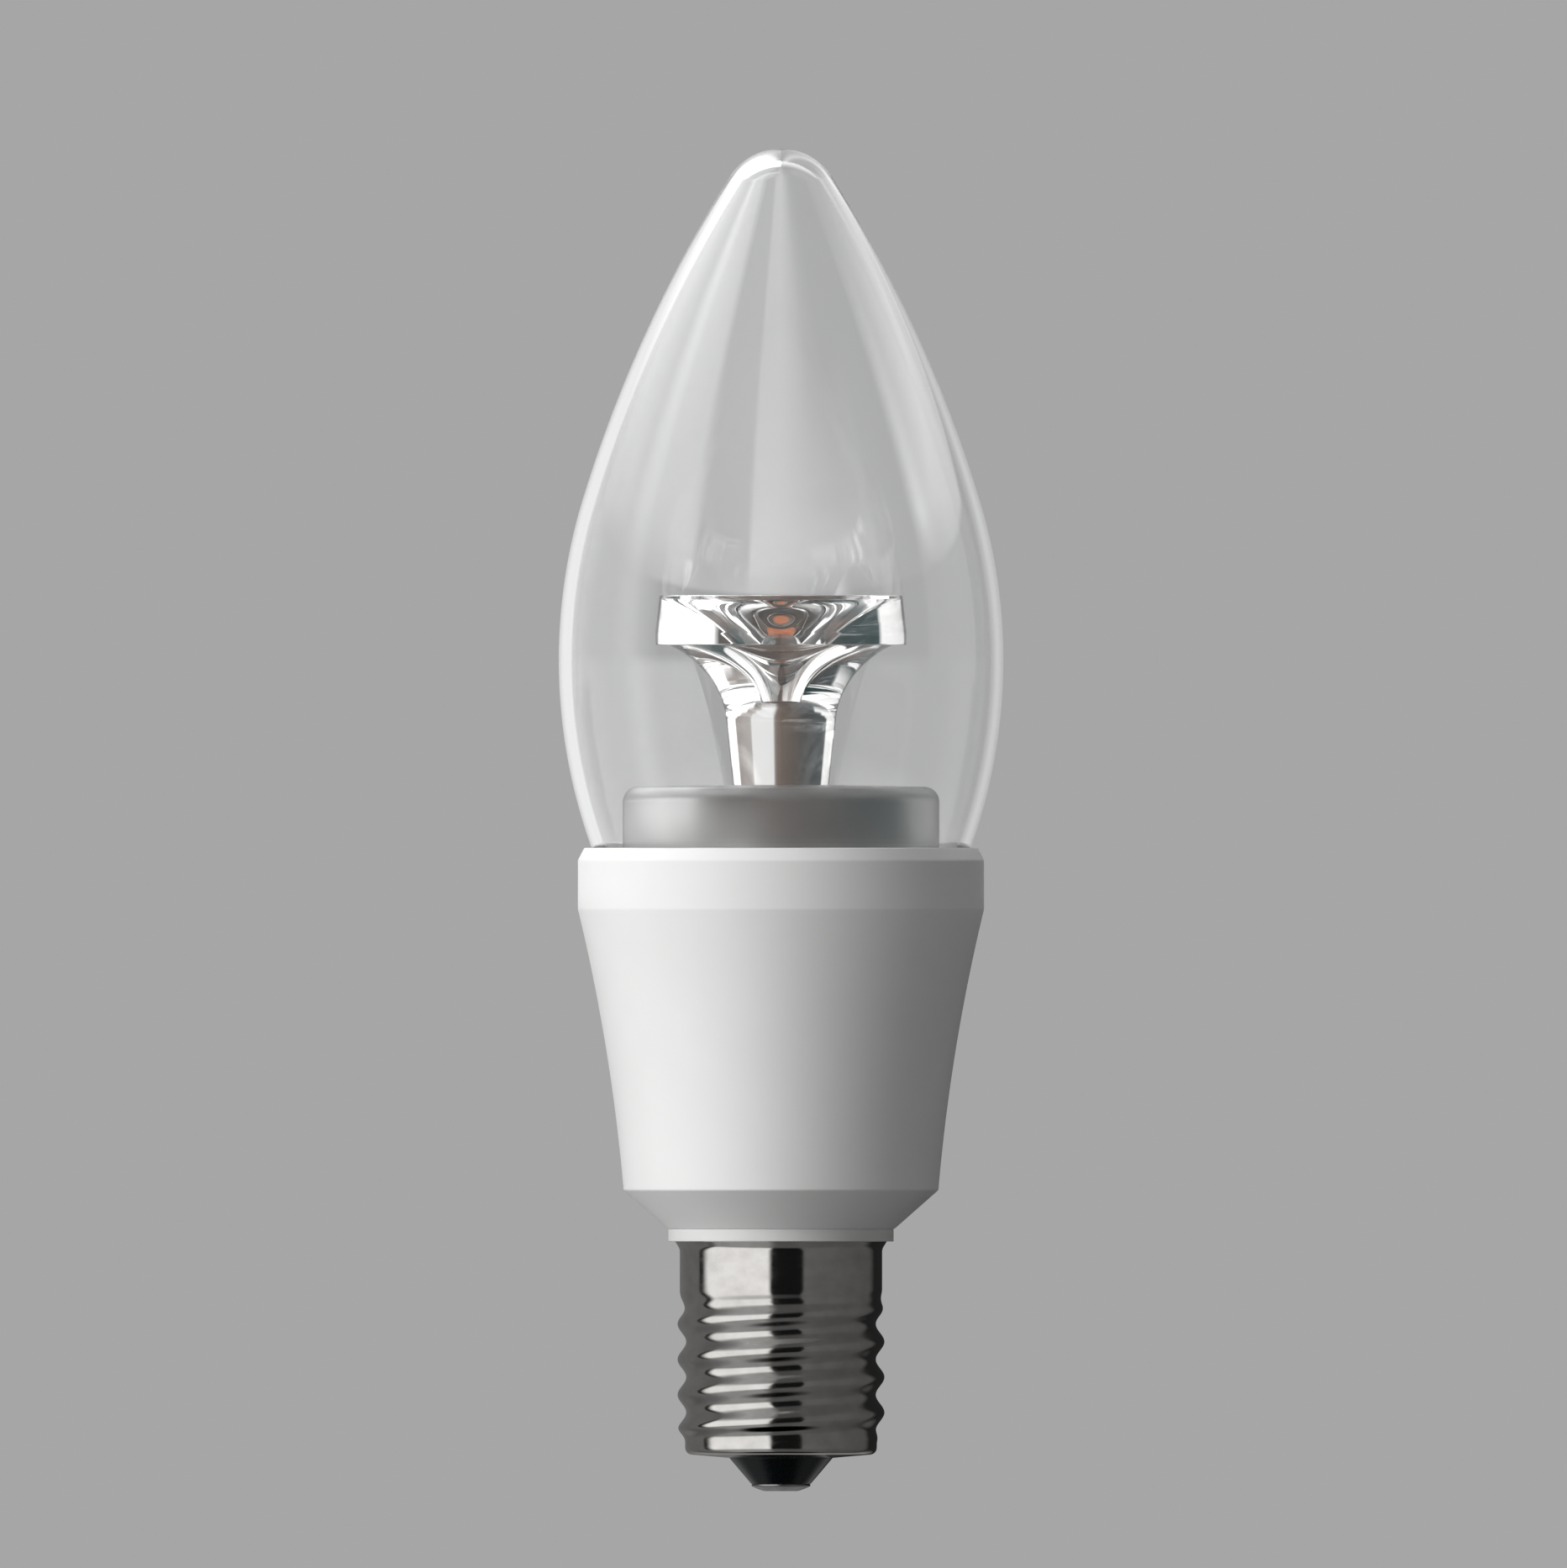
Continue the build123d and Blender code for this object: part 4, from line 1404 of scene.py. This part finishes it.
@dataclass
class Studio:
    """Level view, soft lamps, a plain floor and plain grey surroundings with panels for gloss and glass."""

    aim: Triple = (0.0002, 0.0, 0.05638)
    view_distance: float = 0.6
    view_width: float = 0.12502
    backdrop: Triple = (0.381, 0.381, 0.381)
    bounces: int = 32
    gloss_bounces: int = 12
    floor_half: float = 1500.0
    floor_rough: float = 0.9
    floor_shown: Triple = (0.62, 0.62, 0.62)
    floor_bounce: Triple = (0.3, 0.3, 0.3)
    sky: Triple = (0.2, 0.2, 0.2)
    level: Triple = (0.1, 0.1, 0.1)
    softboxes: tuple[Softbox, ...] = (
        Softbox("key", -60.0, 12.0, 0.6, (0.5, 0.6), 4.4),
        Softbox("fill", -22.0, -4.0, 0.5, (0.3, 0.08), 0.35),
        Softbox("rim", 125.0, 5.0, 0.7, (0.25, 0.6), 0.4),
    )
    soft_heights: Point = (-0.3, 0.6)
    glass_depths: Point = (2.5, 4.5)
    gloss_heights: tuple[float, ...] = (0.228, 0.245, 0.37, 0.69)
    gloss_low: Stops = greys(
        (-180.0, 0.7), (-120.0, 0.9), (-95.0, 1.3), (-82.0, 1.5), (-66.0, 0.1), (150.0, 0.1),
        (180.0, 0.6),
    )
    gloss_edge: Stops = greys(
        (-180.0, 0.7), (-112.0, 0.9), (-91.0, 1.5), (-52.0, 2.0), (-44.0, 1.6), (-30.0, 1.7),
        (-20.0, 2.1), (-17.0, 2.7), (-6.0, 2.7), (7.0, 1.8), (20.0, 1.0), (34.0, 0.7), (90.0, 0.4),
        (100.0, 0.9), (112.0, 1.3), (135.0, 1.3), (150.0, 0.8), (180.0, 0.7),
    )
    gloss_middle: Stops = greys(
        (-180.0, 0.7), (-140.0, 2.0), (-112.0, 3.2), (-91.0, 2.4), (-60.0, 3.0), (-52.0, 3.0),
        (-50.0, 1.1), (-19.0, 1.5), (-17.0, 3.6), (0.0, 3.3), (15.0, 2.6), (40.0, 2.0), (57.0, 1.7),
        (59.0, 0.9), (78.0, 0.5), (87.0, 0.4), (93.0, 2.8), (112.0, 3.0), (135.0, 2.6), (150.0, 1.2),
        (180.0, 0.7),
    )
    gloss_high: Stops = greys(
        (-180.0, 1.6), (-120.0, 5.4), (-60.0, 3.2), (-57.0, 3.2), (-55.0, 1.4), (-21.0, 1.5),
        (-19.0, 2.6), (0.0, 2.7), (15.0, 1.8), (25.0, 1.0), (40.0, 0.5), (85.0, 0.35), (100.0, 0.4),
        (120.0, 0.5), (180.0, 0.8),
    )
    skin_least: float = 0.36
    side_heights: Point = (0.1, 0.25)
    side_low: Stops = greys(
        (-178.0, 0.381), (-172.0, 0.95), (-155.0, 0.85), (-148.0, 0.85), (-140.0, 0.7), (-130.0, 0.5),
        (130.0, 0.45), (145.0, 0.45), (152.0, 0.55), (158.0, 0.75), (168.0, 0.85), (174.0, 0.7),
        (178.0, 0.381),
    )
    side_high: Stops = greys(
        (-178.0, 0.381), (-172.0, 0.95), (-150.0, 0.85), (-140.0, 0.9), (-110.0, 0.6), (110.0, 0.5),
        (135.0, 0.6), (145.0, 0.42), (165.0, 0.42), (172.0, 0.7), (178.0, 0.381),
    )
    side_share: Stops = greys((-105.0, 1.0), (-95.0, 0.0), (95.0, 0.0), (105.0, 1.0))
    through_heights: Point = (0.3, 0.5)
    through_panels: Stops = greys(
        (-172.0, 0.425), (-150.0, 0.5), (-130.0, 0.8), (-60.0, 0.6), (0.0, 0.3), (60.0, 0.3),
        (130.0, 0.4), (150.0, 0.425), (172.0, 0.425),
    )
    through_high: Stops = greys((-120.0, 6.5), (-50.0, 3.0), (50.0, 1.6), (120.0, 1.4))
    inner_heights: tuple[float, ...] = (
        -0.4, -0.34, -0.225, -0.2, -0.02, 0.02, 0.04, 0.15, 0.2, 0.26, 0.33, 0.5,
    )
    deep_share: float = 1.5
    high_share: float = 1.33
    stem_shares: tuple[float, ...] = (1.0, 0.93, 0.8, 0.61)
    front_panels: Stops = greys((-100.0, 1.2), (-45.0, 1.4), (-30.0, 0.02), (20.0, 0.02))
    left_panels: Stops = greys((28.0, 3.5), (60.0, 4.5), (85.0, 3.5), (97.0, 1.8))
    inner_left: Stops = (
        (-180.0, (0.13, 0.1, 0.09)),
        (-168.0, (0.06, 0.06, 0.055)),
        (-160.0, (0.012, 0.036, 0.038)),
        (-141.5, (0.0, 0.035, 0.038)),
        (-140.0, (1.2, 1.2, 1.2)),
    )
    inner_right: Stops = (
        (158.0, (1.8, 1.8, 1.8)),
        (159.5, (0.07, 0.065, 0.06)),
        (168.0, (0.14, 0.11, 0.095)),
        (180.0, (0.13, 0.1, 0.09)),
    )
    wide_right: Stops = (
        (158.0, (1.8, 1.8, 1.8)),
        (160.0, (0.05, 0.055, 0.055)),
        (168.0, (0.13, 0.11, 0.1)),
        (180.0, (0.2, 0.16, 0.14)),
    )
    head_panels: Stops = greys(
        (-92.0, 1.2), (-88.0, 0.12), (-48.0, 0.12), (-42.0, 0.3), (40.0, 0.3), (48.0, 0.2), (85.0, 0.2),
        (92.0, 1.8),
    )
    deep_panels: Stops = greys((-92.0, 1.2), (-88.0, 0.25), (88.0, 0.3), (92.0, 1.8))
    stem_left: Stops = (
        (-180.0, (0.16, 0.125, 0.105)),
        (-173.0, (0.12, 0.095, 0.08)),
        (-163.0, (0.055, 0.055, 0.052)),
        (-150.0, (0.05, 0.06, 0.065)),
        (-137.0, (0.05, 0.065, 0.07)),
        (-134.0, (1.2, 1.2, 1.2)),
    )
    stem_right: Stops = (
        (134.0, (1.8, 1.8, 1.8)),
        (136.5, (0.38, 0.33, 0.31)),
        (156.0, (0.5, 0.47, 0.45)),
        (157.5, (0.95, 0.95, 0.95)),
        (174.5, (0.95, 0.95, 0.95)),
        (176.0, (0.22, 0.165, 0.14)),
        (180.0, (0.18, 0.14, 0.12)),
    )

    def build(self) -> None:
        """Makes the camera, the lamps, the cards, the floor and the surroundings."""
        target = Vector(self.aim)
        for softbox in self.softboxes:
            softbox.build(target)
        CapCards().build()
        self.camera(target)
        self.floor()
        self.surroundings()
        scene = bpy.context.scene
        scene.view_settings.view_transform = "Standard"
        scene.cycles.use_denoising = True
        scene.cycles.max_bounces = scene.cycles.transmission_bounces = self.bounces
        scene.cycles.glossy_bounces = self.gloss_bounces

    def camera(self, target: Vector) -> None:
        """Sets up the level view from the front, with parallel sight lines.

        Args:
            target: Point in the middle of the view.
        """
        data = bpy.data.cameras.new("level_view")
        data.type = "ORTHO"
        data.ortho_scale = self.view_width
        camera = bpy.data.objects.new("level_view", data)
        camera.location = target - Vector((0.0, self.view_distance, 0.0))
        camera.rotation_euler = (pi / 2, 0.0, 0.0)
        bpy.context.scene.collection.objects.link(camera)
        bpy.context.scene.camera = camera

    def floor(self) -> None:
        """Lays a plain floor under the lamp: pale in view, with a smaller bounce of light."""
        half = self.floor_half
        corners = np.array([(-half, -half, 0.0), (half, -half, 0.0), (half, half, 0.0), (-half, half, 0.0)])
        floor = surface_object("studio_floor", corners, [[0, 1, 2, 3]])
        floor.visible_glossy = floor.visible_transmission = False
        graph = Graph("studio_floor")
        seen = graph.add("ShaderNodeLightPath").outputs["Is Camera Ray"]
        colour = graph.blend(seen, self.floor_bounce, self.floor_shown)
        material = graph.shade(Base_Color=colour, Roughness=self.floor_rough, Specular_IOR_Level=0.0)
        floor.data.materials.append(material)

    def inner_levels(self) -> Levels:
        """Puts together the panels that show from deep inside the glass.

        Returns:
            The heights from low to high, each with its stops.
        """
        front = self.front_panels + self.left_panels
        head = self.inner_left + self.head_panels + self.inner_right
        wide = self.inner_left + self.head_panels + self.wide_right
        deep = self.inner_left + self.deep_panels + drawn_in(self.wide_right, self.deep_share)
        high = drawn_in(self.inner_left, self.high_share) + front + self.inner_right
        middle = self.inner_left + front + self.inner_right
        stem = [
            drawn_in(self.stem_left, share) + front + drawn_in(self.stem_right, share)
            for share in self.stem_shares
        ]
        panels = (deep, wide, wide, head, head, middle, stem[0], *stem, high)
        return tuple(zip(self.inner_heights, panels))

    def surroundings(self) -> None:
        """Paints the surroundings: a plain backdrop in view, and panels by azimuth for gloss and for glass.

        Glass shows one set of panels through a single wall, one through the whole globe and one from
        deeper inside.
        """
        world = bpy.data.worlds.new("studio")
        bpy.context.scene.world = world
        world.use_nodes = True
        world.cycles.sampling_method = "NONE"
        graph = Panorama(world)
        path = graph.add("ShaderNodeLightPath").outputs
        height = graph.height()
        sheen = (self.gloss_low, self.gloss_edge, self.gloss_middle, self.gloss_high)
        gloss = graph.tiers(tuple(zip(self.gloss_heights, sheen)))
        side = graph.tiers(tuple(zip(self.side_heights, (self.side_low, self.side_high))))
        skin = graph.blend(graph.ramp(self.side_share), graph.sum(gloss, self.skin_least, "MAXIMUM"), side)
        inner = graph.tiers(self.inner_levels())
        through = graph.tiers(tuple(zip(self.through_heights, (self.through_panels, self.through_high))))
        second, third = (
            graph.sum(path["Transmission Depth"], depth, "GREATER_THAN") for depth in self.glass_depths
        )
        glass = graph.blend(third, graph.blend(second, skin, through), inner)
        soft = graph.blend(graph.span(height, self.soft_heights, WHOLE), self.level, self.sky)
        colour = graph.blend(path["Is Glossy Ray"], soft, gloss)
        colour = graph.blend(path["Is Transmission Ray"], colour, glass)
        graph.paint(graph.blend(path["Is Camera Ray"], colour, self.backdrop))


def main() -> None:
    """Loads the frame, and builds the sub-assemblies and the studio."""
    logging.basicConfig(level=logging.INFO, format="%(name)s: %(message)s")
    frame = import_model()
    nodes = frame["nodes"]
    for part in (ScrewCap(nodes), Housing(nodes), Globe(nodes), Optics(nodes), Driver(nodes)):
        part.build()
    Studio().build()


if __name__ == "__main__":
    main()
